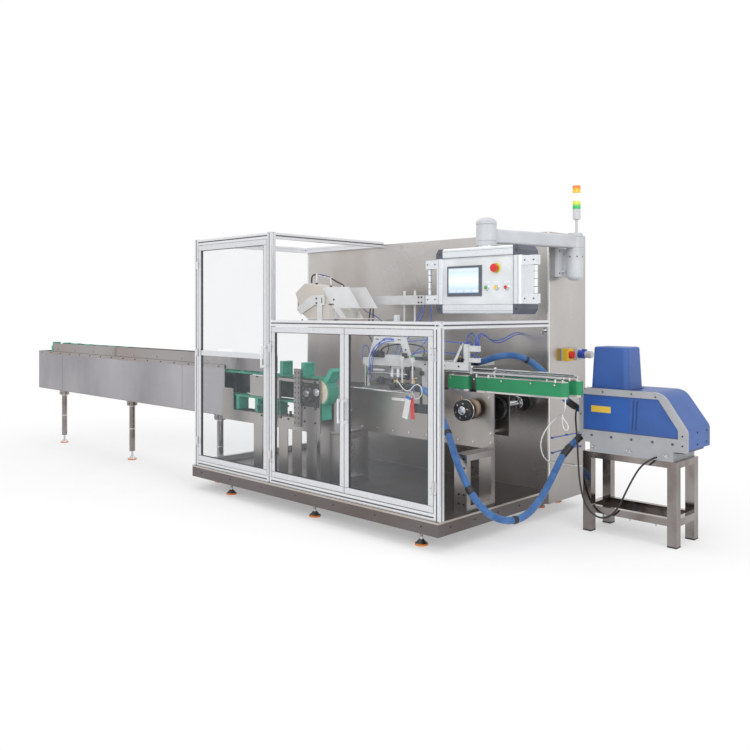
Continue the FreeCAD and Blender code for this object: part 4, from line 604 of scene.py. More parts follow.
# Guard doors: slim framed leaves with clear acrylic panes held in rubber, on barrel hinges,
# each opened by a pale bow pull screwed to its stile.
leaf_metal = anodised("anodised door frame", (0.70, 0.71, 0.735), 0.36)
clear_sheet, tree, shader = paint("clear acrylic pane", (0.80, 0.86, 0.90), 0.04)
haze = wire(tree, "ShaderNodeTexNoise", Vector=stretched(tree, (2, 2, 2)), Scale=1.5, Detail=2.0)
tree.links.new(spread(tree, haze.outputs["Fac"], [(0.3, (0.46, 0.52, 0.56)), (0.7, (0.56, 0.62, 0.66))]),
               shader.inputs["Base Color"])
shader.inputs["Alpha"].default_value = 0.05
coat("end_pane", clear_sheet)
pull_plastic = moulded("pale grey pull plastic", (0.72, 0.73, 0.75), 0.4, 300.0, 0.0002)
hinge_metal = brushed("hinge metal", (0.66, 0.66, 0.68), 0.3, (5, 5, 1), 3.0, 0.1)
coat("door_hinges", hinge_metal)
seal_rubber = moulded("pane seal rubber", (0.05, 0.05, 0.055), 0.6, 200.0)
hinge_screws = []
for door, hinge_side in (("left_door", -1), ("middle_door", -1), ("right_door", 1)):
    coat(f"{door}_frame", leaf_metal)
    coat(f"{door}_pane", clear_sheet)
    coat(f"{door}_pull", pull_plastic)
    frame_low, frame_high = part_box(f"{door}_frame")
    pane_low, pane_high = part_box(f"{door}_pane")
    seal = bmesh.new()
    for x in (pane_low[0], pane_high[0] - 0.004):
        block(seal, (x, x + 0.004), (frame_low[1] + 0.003, frame_high[1] - 0.003), (pane_low[2], pane_high[2]))
    for z in (pane_low[2], pane_high[2] - 0.004):
        block(seal, (pane_low[0] + 0.004, pane_high[0] - 0.004), (frame_low[1] + 0.003, frame_high[1] - 0.003),
              (z, z + 0.004))
    piece(f"{door}_pane_seal", seal, seal_rubber, door)
    joints = bmesh.new()
    for x in (frame_low[0], frame_high[0] - 0.040):
        for z in (frame_low[2] + 0.040, frame_high[2] - 0.041):
            block(joints, (x, x + 0.040), (frame_low[1] - 0.0004, frame_low[1] + 0.001), (z, z + 0.0012))
    piece(f"{door}_frame_joints", joints, seal_rubber, door)
    pull_low, pull_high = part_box(f"{door}_pull")
    middle_x = (pull_low[0] + pull_high[0]) / 2
    collars = bmesh.new()
    for z in (pull_low[2] + 0.010, pull_high[2] - 0.010):
        turned(collars, (middle_x, frame_low[1] + 0.001, z), (0, -1, 0),
               [(0, 0.0125), (0.003, 0.0125), (0.0045, 0.0105), (0.0045, 0.0075)], 24)
    piece(f"{door}_pull_collars", collars, pull_plastic, door)
    frame_x = frame_low[0] if hinge_side < 0 else frame_high[0]
    door_screws = []
    for end in (frame_low[2] + 0.130, frame_high[2] - 0.130):
        for z in (end - 0.019, end + 0.019):
            door_screws.append(((frame_x - hinge_side * 0.014, frame_low[1] - 0.003, z), (0, -1, 0)))
            hinge_screws.append(((frame_x + hinge_side * 0.014, frame_low[1] - 0.000, z), (0, -1, 0)))
    screws(f"{door}_hinge_screws", door_screws, bright_steel, 0.0042, 0.0025, door)
screws("cage_hinge_screws", hinge_screws, bright_steel, 0.0042, 0.0025, "root")


# Infeed conveyor: a long cover of satin stainless sheet in lengths that butt at fine seams, on
# polished legs with clamp collars; folded guards beside the buckets are held by small screws.
# low=0.85 paints a little shade on the cover sheet, darker towards the floor.
cover_metal = brushed("satin conveyor sheet", (0.40, 0.39, 0.41), 0.4, (0.6, 5, 5),
                      0.9, 0.3, tint=(1.0, 0.98, 1.02), low=0.85)
coat("conveyor_cover", cover_metal)
guard_metal = brushed("guard rail sheet", (0.34, 0.32, 0.32), 0.35, (0.6, 5, 5), 1.2, 0.1)
coat("side_guards", guard_metal)
leg_metal = brushed("polished leg tube", (0.30, 0.27, 0.26), 0.16, (8, 8, 0.4), 5.0, 0.45)
coat("conveyor_legs", leg_metal)
cover_low, cover_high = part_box("conveyor_cover")
COVER_FLANGE = 0.986
seams = bmesh.new()
for x in (-5.35, -2.95):
    block(seams, (x - 0.001, x + 0.001), (cover_low[1] - 0.0005, cover_low[1] + 0.001), (0.600, COVER_FLANGE))
block(seams, (-4.176, -4.174), (cover_low[1] + 0.0025, cover_low[1] + 0.005), (1.018, 1.108))
piece("cover_seams", seams, seal_rubber)
flange = bmesh.new()
for y in (cover_low[1] - 0.003, cover_high[1] - 0.001):
    block(flange, (cover_low[0] + 0.004, cover_high[0] - 0.002), (y, y + 0.004), (COVER_FLANGE, cover_high[2] + 0.001))
    block(flange, (cover_low[0] + 0.004, cover_high[0] - 0.002), (y, y + 0.004), (cover_low[2], cover_low[2] + 0.006))
piece("cover_flanges", flange, guard_metal, bevel=0.0012)
cover_screws = [((cover_low[0] + 0.09 + 0.232 * count, cover_low[1] - 0.003, 1.001), (0, -1, 0)) for count in range(16)]
screws("cover_screws", cover_screws, dark_screw, 0.0055, 0.0035)
guard_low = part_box("side_guards")[0]
BUCKET_PITCH, BUCKET_RISE = 0.254, 0.0091
guard_screws = [((guard_low[0] + 0.10 + 0.417 * count, guard_low[1], 1.042), (0, -1, 0)) for count in range(10)]
screws("guard_screws", guard_screws, bright_steel, 0.0060, 0.0035)
leg_low, leg_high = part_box("conveyor_legs")
leg_y = (leg_low[1] + leg_high[1]) / 2
sleeves = bmesh.new()
collar_screws = []
for x in (-5.438, -3.948, -2.458):
    for z in (0.300, 0.526):
        turned(sleeves, (x, leg_y, z), (0, 0, 1),
               [(0, 0.0284), (0.002, 0.0315), (0.013, 0.0315), (0.015, 0.0284)], 32)
    collar_screws += [((x - 0.022, leg_y - 0.0445, 0.558), (-0.44, -0.9, 0)),
                      ((x + 0.022, leg_y - 0.0445, 0.558), (0.44, -0.9, 0))]
piece("leg_sleeves", sleeves, bright_steel, bevel=0.0006)
screws("collar_screws", collar_screws, dark_screw, 0.0055, 0.004)


# Conveyor's drive end: machined cheek plates with the idler's black flange bearing, a drilled
# upright bar, the cream drum under its bolted hub, and a ribbed belt with buckets of teal plastic.
machined = brushed("machined plate", (0.40, 0.375, 0.36), 0.34, (3, 3, 3), 2.0, 0.16)
coat("cheek_plates", machined)
cream_plastic = moulded("cream drum plastic", (0.70, 0.62, 0.50), 0.4)
coat("belt_drums", cream_plastic)
teal_plastic = moulded("teal bucket plastic", (0.045, 0.36, 0.25), 0.42)
coat("product_buckets", teal_plastic)
FIRST_BUCKET, BUCKET_TOP = -1.318, 1.0865
tops = bmesh.new()
for count in range(11, 18):
    x = FIRST_BUCKET - BUCKET_PITCH * count
    block(tops, (x - 0.017, x + 0.017), (0.170, 0.250), (1.060, BUCKET_TOP + BUCKET_RISE * (FIRST_BUCKET - x) * 0.9))
piece("bucket_tops", tops, teal_plastic, bevel=0.003)
coat("bucket_belt", moulded("speckled belt plastic", (0.05, 0.31, 0.20), 0.55, 160.0, 0.0004))
black_plastic = moulded("black moulded plastic", (0.025, 0.025, 0.028), 0.42, 300.0)
IDLER = (-1.216, 0.856)
housing = bmesh.new()
turned(housing, (IDLER[0], 0.120, IDLER[1]), (0, -1, 0),
       [(0, 0.0635), (0.005, 0.0635), (0.008, 0.060), (0.009, 0.044), (0.018, 0.038), (0.020, 0.034), (0.014, 0.030),
        (0.014, 0.0190), (0, 0.0190)], 40)
piece("idler_bearing_housing", housing, black_plastic)
hub = bmesh.new()
turned(hub, (IDLER[0], 0.107, IDLER[1]), (0, -1, 0),
       [(0, 0.0290), (0.004, 0.0285), (0.004, 0.0215), (0.013, 0.0205), (0.014, 0.0185), (0, 0.0185)], 32)
turned(hub, (-1.130, 0.131, 0.869), (0, -1, 0),
       [(0, 0.030), (0.005, 0.030), (0.007, 0.028), (0.007, 0.014), (0.013, 0.013), (0.014, 0.011), (0.014, 0)], 32)
piece("bearing_hubs", hub, bright_steel, bevel=0.0005)
bearing_screws = [((IDLER[0] + 0.052 * math.cos(turn), 0.1115, IDLER[1] + 0.052 * math.sin(turn)), (0, -1, 0))
                  for turn in (math.radians(45 + 90 * count) for count in range(4))]
screws("bearing_screws", bearing_screws, bright_steel, 0.0055, 0.004)
upright = bmesh.new()
block(upright, (-1.384, -1.307), (0.124, 0.137), (0.594, 1.034))
piece("drilled_upright", upright, guard_metal, bevel=0.0012)
carriage = bmesh.new()
block(carriage, (-1.300, -1.112), (0.1305, 0.1375), (0.755, 0.968))
for x, z, radius in ((-1.290, 0.935, 0.017), (-1.148, 0.772, 0.021), (-1.292, 0.775, 0.013), (-1.142, 0.940, 0.013)):
    turned(carriage, (x, 0.131, z), (0, -1, 0),
           [(0, radius), (0.007, radius), (0.009, radius * 0.85), (0.009, radius * 0.45), (0.015, radius * 0.4),
            (0.015, 0)], 20)
block(carriage, (-1.556, -1.400), (0.1305, 0.1375), (0.934, 0.962))
block(carriage, (-1.566, -1.545), (0.1305, 0.1375), (0.640, 0.962))
block(carriage, (-2.300, -2.085), (0.266, 0.272), (0.785, 0.962))
block(carriage, (-1.750, -1.400), (0.266, 0.272), (0.785, 0.930))
carriage_metal = brushed("oiled steel plate", (0.125, 0.12, 0.12), 0.38, (3, 3, 3), 9.0, 0.5)
piece("idler_carriage", carriage, carriage_metal, bevel=0.001)
latches = bmesh.new()
for x, z in ((-1.430, 0.690), (-1.480, 0.690), (-1.690, 0.700), (-1.830, 0.700)):
    block(latches, (x - 0.012, x + 0.012), (0.128, 0.138), (z - 0.016, z + 0.016))
piece("cheek_latches", latches, black_plastic, bevel=0.002)
# Painted shade: dark discs in the drilled upright stand for the shade in its holes.
hole_shade_seats = [((x, 0.124, 0.624 + 0.038 * count), (0, -1, 0)) for x in (-1.365, -1.326) for count in range(11)]
screws("upright_hole_shade", hole_shade_seats, dark_screw, 0.0062, 0.0016, share=0.75)
cheek_screws = [((x, 0.1375, z), (0, -1, 0)) for x in (-1.150, -1.270, -1.460, -1.600, -1.790) for z in (0.640, 0.742)]
cheek_screws += [((x, 0.1375, 0.945), (0, -1, 0)) for x in (-1.400, -1.470, -1.600, -1.720, -1.850, -2.000, -2.150)]
screws("cheek_screws", cheek_screws, dark_screw, 0.0075, 0.006)


def cleats():
    """Geometry nodes that lay a low rib across the belt at even steps along a line."""
    tree = bpy.data.node_groups.new("belt ribs", "GeometryNodeTree")
    sockets = {}
    for label, kind in (("Line", "Geometry"), ("Step", "Float"), ("Rib", "Vector"), ("Finish", "Material")):
        sockets[label] = tree.interface.new_socket(name=label, in_out="INPUT",
                                                   socket_type=f"NodeSocket{kind}").identifier
    tree.interface.new_socket(name="Ribs", in_out="OUTPUT", socket_type="NodeSocketGeometry")
    given = wire(tree, "NodeGroupInput").outputs
    line = wire(tree, "GeometryNodeMeshToCurve", Mesh=given["Line"])
    points = wire(tree, "GeometryNodeCurveToPoints", {"mode": "LENGTH"}, Curve=line.outputs["Curve"],
                  Length=given["Step"])
    rib = wire(tree, "GeometryNodeMeshCube", Size=given["Rib"])
    facing = wire(tree, "FunctionNodeAlignRotationToVector", {"axis": "X"}, Vector=points.outputs["Tangent"])
    placed = wire(tree, "GeometryNodeInstanceOnPoints", Points=points.outputs["Points"], Instance=rib.outputs["Mesh"],
                  Rotation=facing.outputs["Rotation"])
    real = wire(tree, "GeometryNodeRealizeInstances", Geometry=placed.outputs["Instances"])
    finished = wire(tree, "GeometryNodeSetMaterial", Geometry=real.outputs["Geometry"], Material=given["Finish"])
    wire(tree, "NodeGroupOutput", Ribs=finished.outputs["Geometry"])
    return tree, sockets


cleat_tree, cleat_sockets = cleats()


def ribs(name, line, step, size, material):
    """Ribs of a size (along, across, high) at a step along a line of points, as one piece."""
    path = bpy.data.meshes.new(name)
    path.from_pydata([tuple(place) for place in line], [(at, at + 1) for at in range(len(line) - 1)], [])
    obj = bpy.data.objects.new(name, path)
    scene.collection.objects.link(obj)
    modifier = obj.modifiers.new("ribs", "NODES")
    modifier.node_group = cleat_tree
    modifier[cleat_sockets["Step"]] = step
    modifier[cleat_sockets["Rib"]] = size
    modifier[cleat_sockets["Finish"]] = material
    return finish_piece(name, made_plain(obj), material, "root", smooth=False)


def loop_line(left, right, middle_y, middle_z, radius):
    """The line of a belt or chain round two equal wheels, from the left wheel's top and round."""
    steps = [math.pi * count / 16 for count in range(17)]
    out = [(left, middle_y, middle_z + radius)]
    out += [(right + radius * math.sin(turn), middle_y, middle_z + radius * math.cos(turn)) for turn in steps]
    out += [(left - radius * math.sin(turn), middle_y, middle_z - radius * math.cos(turn)) for turn in steps]
    return out


belt_low, belt_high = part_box("bucket_belt")
belt_radius = (belt_high[2] - belt_low[2]) / 2
RIB_PITCH = 0.0254
ribs("bucket_belt_ribs", loop_line(belt_low[0] + belt_radius, belt_high[0] - belt_radius,
                                   (belt_low[1] + belt_high[1]) / 2, (belt_low[2] + belt_high[2]) / 2,
                                   belt_radius + 0.0005),
     RIB_PITCH, (0.006, belt_high[1] - belt_low[1] - 0.004, 0.003), teal_plastic)


# Carton bed: machined plates on stands, with carton chains of riveted links over blackened
# sprockets, and a cross shaft that carries a dark clutch wheel with a bright hub.
for node in ("bed_front_plate", "bed_back_plate", "bed_stands"):
    coat(node, machined)
dark_steel, tree, shader = paint("blackened steel", (0.055, 0.055, 0.06), 0.38, 0.8)
varied = wire(tree, "ShaderNodeTexNoise", Vector=stretched(tree, (1, 1, 1)), Scale=38.0, Detail=5.0)
tree.links.new(spread(tree, varied.outputs["Fac"], [(0.35, (0.04, 0.04, 0.045)), (0.62, (0.08, 0.078, 0.078)),
                                                  (0.8, (0.20, 0.19, 0.18))]), shader.inputs["Base Color"])
raise_grain(tree, shader, varied.outputs["Fac"], 0.0004, 0.4)
for node in ("cross_shaft", "chain_sprockets", "carton_chains"):
    coat(node, dark_steel)
sprocket_low, sprocket_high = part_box("chain_sprockets")
sprocket_radius = (sprocket_high[2] - sprocket_low[2]) / 2
chain_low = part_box("carton_chains")[0]
CHAIN_PITCH = 0.0127
ribs("carton_chain_pins", loop_line(sprocket_low[0] + sprocket_radius, sprocket_high[0] - sprocket_radius,
                                    chain_low[1] - 0.001, (sprocket_low[2] + sprocket_high[2]) / 2,
                                    sprocket_radius + 0.004),
     CHAIN_PITCH, (0.0065, 0.003, 0.0065), bright_steel)
wheel_low, wheel_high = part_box("cross_shaft")
wheel_x = (wheel_low[0] + wheel_high[0]) / 2
wheel_z = (wheel_low[2] + wheel_high[2]) / 2
wheel_hubs = bmesh.new()
turned(wheel_hubs, (wheel_x, wheel_low[1] + 0.001, wheel_z), (0, -1, 0),
       [(0, 0.030), (0.003, 0.030), (0.005, 0.027), (0.005, 0.016), (0.011, 0.015), (0.011, 0.009), (0.004, 0.008),
        (0.004, 0)], 32)
turned(wheel_hubs, (wheel_x, 0.446, wheel_z), (0, 1, 0),
       [(0, 0.0715), (0.002, 0.0730), (0.006, 0.0730), (0.008, 0.0715), (0.008, 0.040), (0, 0.040)], 40)
turned(wheel_hubs, (wheel_x, 1.066, wheel_z), (0, -1, 0),
       [(0, 0.046), (0.006, 0.046), (0.008, 0.044), (0.008, 0.022), (0, 0.022)], 32)
piece("clutch_wheel_hubs", wheel_hubs, bright_steel, bevel=0.0005)
clutch_screws = [((wheel_x + radius * math.cos(turn), y, wheel_z + radius * math.sin(turn)), (0, -1, 0))
                 for y, radius in ((wheel_low[1], 0.049), (1.058, 0.034))
                 for turn in (math.radians(15 + 60 * count) for count in range(6))]
screws("clutch_screws", clutch_screws, bright_steel, 0.0055, 0.005)
bed_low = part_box("bed_front_plate")[0]
bed_screws = [((x, bed_low[1], z), (0, -1, 0)) for x, z in
              ((0.143, 0.897), (-0.111, 0.592), (0.013, 0.591), (0.158, 0.600), (0.158, 0.660), (-0.236, 0.592),
               (-0.400, 0.592), (-0.560, 0.592), (-0.720, 0.592), (-0.880, 0.592), (-1.040, 0.592), (-1.160, 0.700),
               (-1.160, 0.880), (-1.030, 0.897), (-0.240, 0.897))]
screws("bed_screws", bed_screws, bright_steel, 0.0080, 0.0060)
stand_low, stand_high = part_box("bed_stands")
stand_screws = [((x, stand_low[1], z), (0, -1, 0)) for x in (0.118, 0.160) for z in (0.240, 0.300, 0.470, 0.530)]
screws("stand_screws", stand_screws, dark_screw, 0.0068, 0.0050)
# The ledge is drawn in the pale sheet of the edge highlights: a painted highlight along it.
rail = bmesh.new()
block(rail, (-0.722, -0.574), (0.506, 0.523), (0.814, 0.836))
piece("carton_ledge", rail, edge_highlight_sheet, bevel=0.0015)


def toothed(bm, centre, y, radius, depth, teeth):
    """A toothed wheel between two values of y; depth is how deep each gap is cut."""
    rings = []
    for at in y:
        ring = []
        for number in range(teeth * 4):
            turn = 2 * math.pi * number / (teeth * 4)
            reach = radius if number % 4 < 2 else radius - depth
            ring.append(bm.verts.new((centre[0] + reach * math.cos(turn), at, centre[1] + reach * math.sin(turn))))
        rings.append(ring)
    for number in range(teeth * 4):
        following = (number + 1) % (teeth * 4)
        bm.faces.new((rings[0][number], rings[0][following], rings[1][following], rings[1][number]))
    bm.faces.new(rings[0])
    bm.faces.new(rings[1])


pulley = bmesh.new()
toothed(pulley, (0.112, 0.812), (0.640, 0.672), 0.076, 0.005, 32)
turned(pulley, (0.112, 0.672, 0.812), (0, 1, 0), [(-0.001, 0.030), (0.012, 0.030), (0.013, 0.028), (0.013, 0)], 24)
piece("timing_pulley", pulley, dark_steel)
backing = bmesh.new()
turned(backing, (0.040, 0.470, 0.822), (0, 1, 0),
       [(0, 0.060), (0.002, 0.063), (0.020, 0.063), (0.022, 0.060), (0.022, 0.024), (0, 0.024)], 40)
bar(backing, (-0.005, 0.418, 0.880), (-0.005, 0.418, 0.903), 0.010, 0.002, 6)
worn_bronze = brushed("worn bronze ring", (0.34, 0.27, 0.21), 0.34, (4, 4, 4), 6.0, 0.25)
piece("clutch_backing", backing, worn_bronze, bevel=0.0006)
shaft_sleeve = bmesh.new()
bar(shaft_sleeve, (wheel_x, 0.745, wheel_z), (wheel_x, 1.052, wheel_z), 0.0205, 0.001, 32)


# Discharge side belts: green belts on polished frames, with chromed guide rods on small white
# posts and round-headed clamps.
belt_green = moulded("green belt rubber", (0.014, 0.235, 0.095), 0.5, 500.0)
coat("side_belts", belt_green)
frame_metal = brushed("belt frame sheet", (0.64, 0.63, 0.62), 0.24, (0.6, 5, 5), 2.0, 0.1)
coat("belt_frames", frame_metal)
chrome, tree, shader = paint("chromed rod", (0.72, 0.72, 0.74), 0.12, 1.0)
faint = wire(tree, "ShaderNodeTexNoise", Vector=stretched(tree, (3, 30, 30)), Scale=6.0, Detail=2.0)
tree.links.new(spread(tree, faint.outputs["Fac"], [(0.3, (0.62, 0.62, 0.64)), (0.7, (0.80, 0.80, 0.82))]),
               shader.inputs["Base Color"])
coat("guide_rods", chrome)
piece("shaft_sleeve", shaft_sleeve, chrome)
white_paint = moulded("white painted plate", (0.70, 0.705, 0.71), 0.38, 320.0, 0.0001)
posts = bmesh.new()
for x in (0.035, 0.133, 0.640):
    for y in (0.530, 0.700):
        turned(posts, (x, y, 1.024), (0, 0, 1), [(0, 0.0055), (0.002, 0.0062), (0.020, 0.0062), (0.022, 0.0055)], 16)
piece("rod_posts", posts, white_paint, bevel=0.0006)
balls = bmesh.new()
bar(balls, (-0.214, 0.530, 1.0545), (0.676, 0.530, 1.0545), 0.0088, 0.001, 24)
bar(balls, (-0.170, 0.700, 1.0665), (0.676, 0.700, 1.0665), 0.0078, 0.001, 24)
for x in (-0.006, 0.186):
    block(balls, (x - 0.007, x + 0.007), (0.521, 0.541), (1.043, 1.073))
    turned(balls, (x, 0.531, 1.072), (0, 0, 1),
           [(0, 0.0035), (0.010, 0.0035), (0.012, 0.0085), (0.017, 0.0115), (0.023, 0.0115), (0.028, 0.0080),
            (0.030, 0)], 20)
piece("rod_sleeves", balls, bright_steel, bevel=0.0008)
frame_low, frame_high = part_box("belt_frames")
belt_screws = [((x, frame_low[1] + 0.001, z), (0, -1, 0)) for x, z in
               ((0.242, 1.012), (0.466, 1.012), (0.020, 1.012), (-0.180, 1.012), (0.640, 1.012))]
screws("belt_frame_screws", belt_screws, bright_steel, 0.0065, 0.0045)
caps = bmesh.new()
for x in (-0.190, 0.672):
    for y in (0.560, 0.738):
        turned(caps, (x, y, frame_high[2] - 0.001), (0, 0, 1),
               [(0, 0.016), (0.004, 0.016), (0.006, 0.0145), (0.006, 0.007), (0.011, 0.006), (0.011, 0)], 24)
piece("belt_wheel_caps", caps, bright_steel, bevel=0.0005)


# Carrier over the cartons: a white beam with its gantry plate, small air cylinders, a slide with
# a dark way, a hinge block, and clamps and knobs that set the guide rods.
for node in ("carrier_beam", "gantry_plate"):
    coat(node, white_paint)
air_units = bmesh.new()
bar(air_units, (-0.154, 0.530, 1.112), (-0.088, 0.530, 1.232), 0.013, 0.001, 24)
bar(air_units, (-0.088, 0.530, 1.232), (-0.078, 0.530, 1.250), 0.005)
bar(air_units, (-0.740, 0.530, 1.086), (-0.640, 0.530, 1.086), 0.0045)
for x in (-0.897, -0.789):
    turned(air_units, (x, 0.8455, 1.300), (0, 0, 1),
           [(0, 0.0095), (0.001, 0.0160), (0.012, 0.0160), (0.013, 0.0095)], 24)
piece("chromed_cylinders", air_units, chrome)
white_units = bmesh.new()
bar(white_units, (-0.899, 0.500, 1.0315), (-0.790, 0.500, 1.0315), 0.0085, 0.001, 24)
block(white_units, (-0.340, -0.271), (0.500, 0.512), (1.116, 1.195))
block(white_units, (-0.345, -0.330), (0.494, 0.506), (1.144, 1.243))
block(white_units, (-0.318, -0.242), (0.500, 0.522), (1.196, 1.216))
for x in (-0.389, -0.485):
    turned(white_units, (x, 0.360, 0.964), (0, 0, 1),
           [(0, 0.006), (0.150, 0.006), (0.152, 0.014), (0.168, 0.016), (0.182, 0.014), (0.186, 0.009), (0.186, 0)], 20)
piece("white_air_units", white_units, white_paint, bevel=0.0012)
manifold = bmesh.new()
for count in range(6):
    turned(manifold, (-0.316 + 0.0135 * count, 0.486, 1.205), (1, 0, 0.12),
           [(0, 0.030), (0.0015, 0.033), (0.0060, 0.033), (0.0075, 0.030)], 24)
    bar(manifold, (-0.312 + 0.0135 * count, 0.486, 1.236), (-0.312 + 0.0135 * count, 0.480, 1.252), 0.0042, 0.001, 10)
bar(manifold, (-0.322, 0.486, 1.2045), (-0.236, 0.486, 1.2148), 0.018, 0.001, 20)
piece("ribbed_manifold", manifold, pull_plastic)
valves_low = bmesh.new()
for x in (-0.905, -0.865, -0.825):
    block(valves_low, (x, x + 0.030), (0.482, 0.509), (1.126, 1.170))
    turned(valves_low, (x + 0.015, 0.496, 1.169), (0, 0, 1),
           [(0, 0.007), (0.010, 0.007), (0.012, 0.005), (0.012, 0)], 14)
block(valves_low, (-0.600, -0.570), (0.484, 0.509), (1.130, 1.166))
block(valves_low, (-0.470, -0.350), (0.470, 0.509), (1.122, 1.146))
turned(valves_low, (-0.500, 0.490, 1.060), (0, -1, 0), [(0, 0.022), (0.010, 0.022), (0.013, 0.019), (0.013, 0)], 24)
turned(valves_low, (-0.410, 0.490, 1.030), (0, -1, 0), [(0, 0.018), (0.014, 0.018), (0.016, 0.015), (0.016, 0)], 24)
piece("carrier_valves", valves_low, black_plastic, bevel=0.0015)
clevis = bmesh.new()
for x in (-0.955, -0.700, -0.640):
    block(clevis, (x - 0.014, x + 0.014), (0.486, 0.511), (0.990, 1.050))
    bar(clevis, (x, 0.498, 0.930), (x, 0.498, 0.992), 0.006, 0.001, 14)
bar(clevis, (-0.955, 0.496, 1.010), (-0.560, 0.496, 1.010), 0.006, 0.001, 14)
piece("setting_rods", clevis, chrome, bevel=0.001)
ways = bmesh.new()
block(ways, (-0.989, -0.977), (0.5085, 0.5105), (0.910, 1.036))
for x in (-0.870, -0.649):
    block(ways, (x - 0.016, x + 0.016), (0.5085, 0.5105), (1.257, 1.264))
for x in (-0.740, -0.600):
    block(ways, (x - 0.004, x + 0.004), (0.516, 0.544), (1.040, 1.068))
piece("slide_ways", ways, dark_steel, bevel=0.0006)
gantry_screws = [((x, 0.510, z), (0, -1, 0)) for x, z in
                 ((-0.925, 1.140), (-0.905, 1.190), (-0.560, 1.140), (-0.585, 1.190), (-0.800, 1.262), (-0.720, 1.262),
                  (-0.983, 1.050), (-0.983, 0.920), (-0.400, 1.092), (-0.230, 1.092), (-0.100, 1.092), (-0.060, 1.140))]
screws("carrier_screws", gantry_screws, dark_screw, 0.0062, 0.0052)


# Glue guns: blackened steel blocks with brass fittings and round solenoid caps, hung from white
# brackets, with two bare tags on the near one; brass nuts close the melter's hose ends.
coat("glue_guns", dark_steel)
coat("hose_fittings", dark_steel)
brass, tree, shader = paint("brass fitting", (0.62, 0.42, 0.17), 0.3, 1.0)
tarnish = wire(tree, "ShaderNodeTexNoise", Vector=stretched(tree, (1, 1, 1)), Scale=60.0, Detail=3.0)
tree.links.new(spread(tree, tarnish.outputs["Fac"], [(0.35, (0.42, 0.27, 0.11)), (0.65, (0.72, 0.52, 0.24))]),
               shader.inputs["Base Color"])
brass_parts = bmesh.new()
for x, y, z, high in ((-0.548, 0.345, 0.964, 0.022), (-0.520, 0.345, 0.964, 0.030), (-0.480, 0.372, 0.964, 0.024),
                      (-0.235, 0.700, 1.134, 0.024)):
    turned(brass_parts, (x, y, z), (0, 0, 1),
           [(0, 0.0095), (0.008, 0.0095), (0.009, 0.0065), (high - 0.006, 0.0065), (high - 0.005, 0.0085),
            (high, 0.0080), (high, 0)], 6)
bar(brass_parts, (-0.376, 0.360, 0.964), (-0.376, 0.360, 0.995), 0.008, 0.001, 12)
bar(brass_parts, (-0.384, 0.360, 0.992), (-0.345, 0.352, 1.006), 0.0075, 0.001, 12)
piece("brass_fittings", brass_parts, brass, bevel=0.0006)
solenoids = bmesh.new()
for x, z in ((-0.658, 0.982), (-0.545, 0.936)):
    turned(solenoids, (x, 0.336, z), (0, -1, 0),
           [(0, 0.024), (0.004, 0.025), (0.020, 0.025), (0.024, 0.022), (0.024, 0.009), (0.028, 0.008), (0.028, 0)], 28)
block(solenoids, (-0.370, -0.252), (0.348, 0.372), (0.768, 0.830))
block(solenoids, (-0.320, -0.302), (0.354, 0.366), (0.828, 0.925))
piece("gun_solenoids", solenoids, black_plastic, bevel=0.002)
gun_screws = [((x, 0.335, z), (0, -1, 0)) for x in (-0.580, -0.460, -0.510) for z in (0.922, 0.958)]
gun_screws += [((x, 0.685, z), (0, -1, 0)) for x in (-0.252, -0.218) for z in (1.093, 1.127)]
screws("gun_screws", gun_screws, bright_steel, 0.0042, 0.0035)
green_fitting = moulded("green plug plastic", (0.03, 0.34, 0.10), 0.4)
plugs = bmesh.new()
bar(plugs, (-0.389, 0.360, 1.150), (-0.389, 0.360, 1.158), 0.0185, 0.0015, 20)
piece("setting_ring", plugs, green_fitting)
tag_card = moulded("plain white tag", (0.80, 0.80, 0.78), 0.6)
tag_red = moulded("plain red tag", (0.66, 0.03, 0.03), 0.5)
tag_blue = moulded("blue tag edge", (0.03, 0.14, 0.55), 0.5)


def tag(name, corner, wide, high, turn, material, thick=0.0012):
    """A bare tag that hangs from its top corner, leaning by turn."""
    bm = bmesh.new()
    block(bm, (-wide / 2, wide / 2), (-thick / 2, thick / 2), (-high, 0))
    bmesh.ops.transform(bm, matrix=Matrix.Translation(corner) @ Matrix.Rotation(turn, 4, "Y"), verts=bm.verts)
    return piece(name, bm, material, bevel=0.0004)


tag("gun_tag_white", (-0.398, 0.331, 0.878), 0.050, 0.160, math.radians(14), tag_card)
tag("gun_tag_edge", (-0.398, 0.330, 0.878), 0.052, 0.020, math.radians(14), tag_blue)
tag("gun_tag_red", (-0.376, 0.336, 0.872), 0.036, 0.150, math.radians(-4), tag_red)
hangers = bmesh.new()
for x in (-0.398, -0.376):
    bar(hangers, (x, 0.333, 0.870), (x, 0.350, 0.918), 0.0012, 0.0002, 8)
piece("tag_wires", hangers, bright_steel)


# Blue polyurethane air tubes and black cables from the beam and the gantry down to the carrier
# and its valve block, and white sensor cables by the near glue gun. All hang free between ends.
valves = bmesh.new()
block(valves, (-0.062, -0.030), (0.512, 0.548), (1.117, 1.245))
block(valves, (-0.030, 0.040), (0.528, 0.572), (1.196, 1.236))
block(valves, (-0.030, 0.040), (0.528, 0.572), (1.122, 1.152))
piece("valve_block", valves, white_paint, bevel=0.002)
nipples = bmesh.new()
for x, z, way in ((0.024, 1.236, 1), (0.036, 1.236, 1), (0.012, 1.236, 1), (-0.020, 1.236, 1),
                  (0.024, 1.196, -1), (0.030, 1.152, 1), (0.002, 1.152, 1)):
    turned(nipples, (x, 0.552, z - way * 0.001), (0, 0, way),
           [(0, 0.0062), (0.008, 0.0062), (0.009, 0.0050), (0.014, 0.0048), (0.014, 0)], 12)
nipple_plastic = moulded("blue collet plastic", (0.03, 0.12, 0.50), 0.35, 300.0)
valve_nipples = piece("valve_nipples", nipples, nipple_plastic)
AIR_TUBE = 0.006
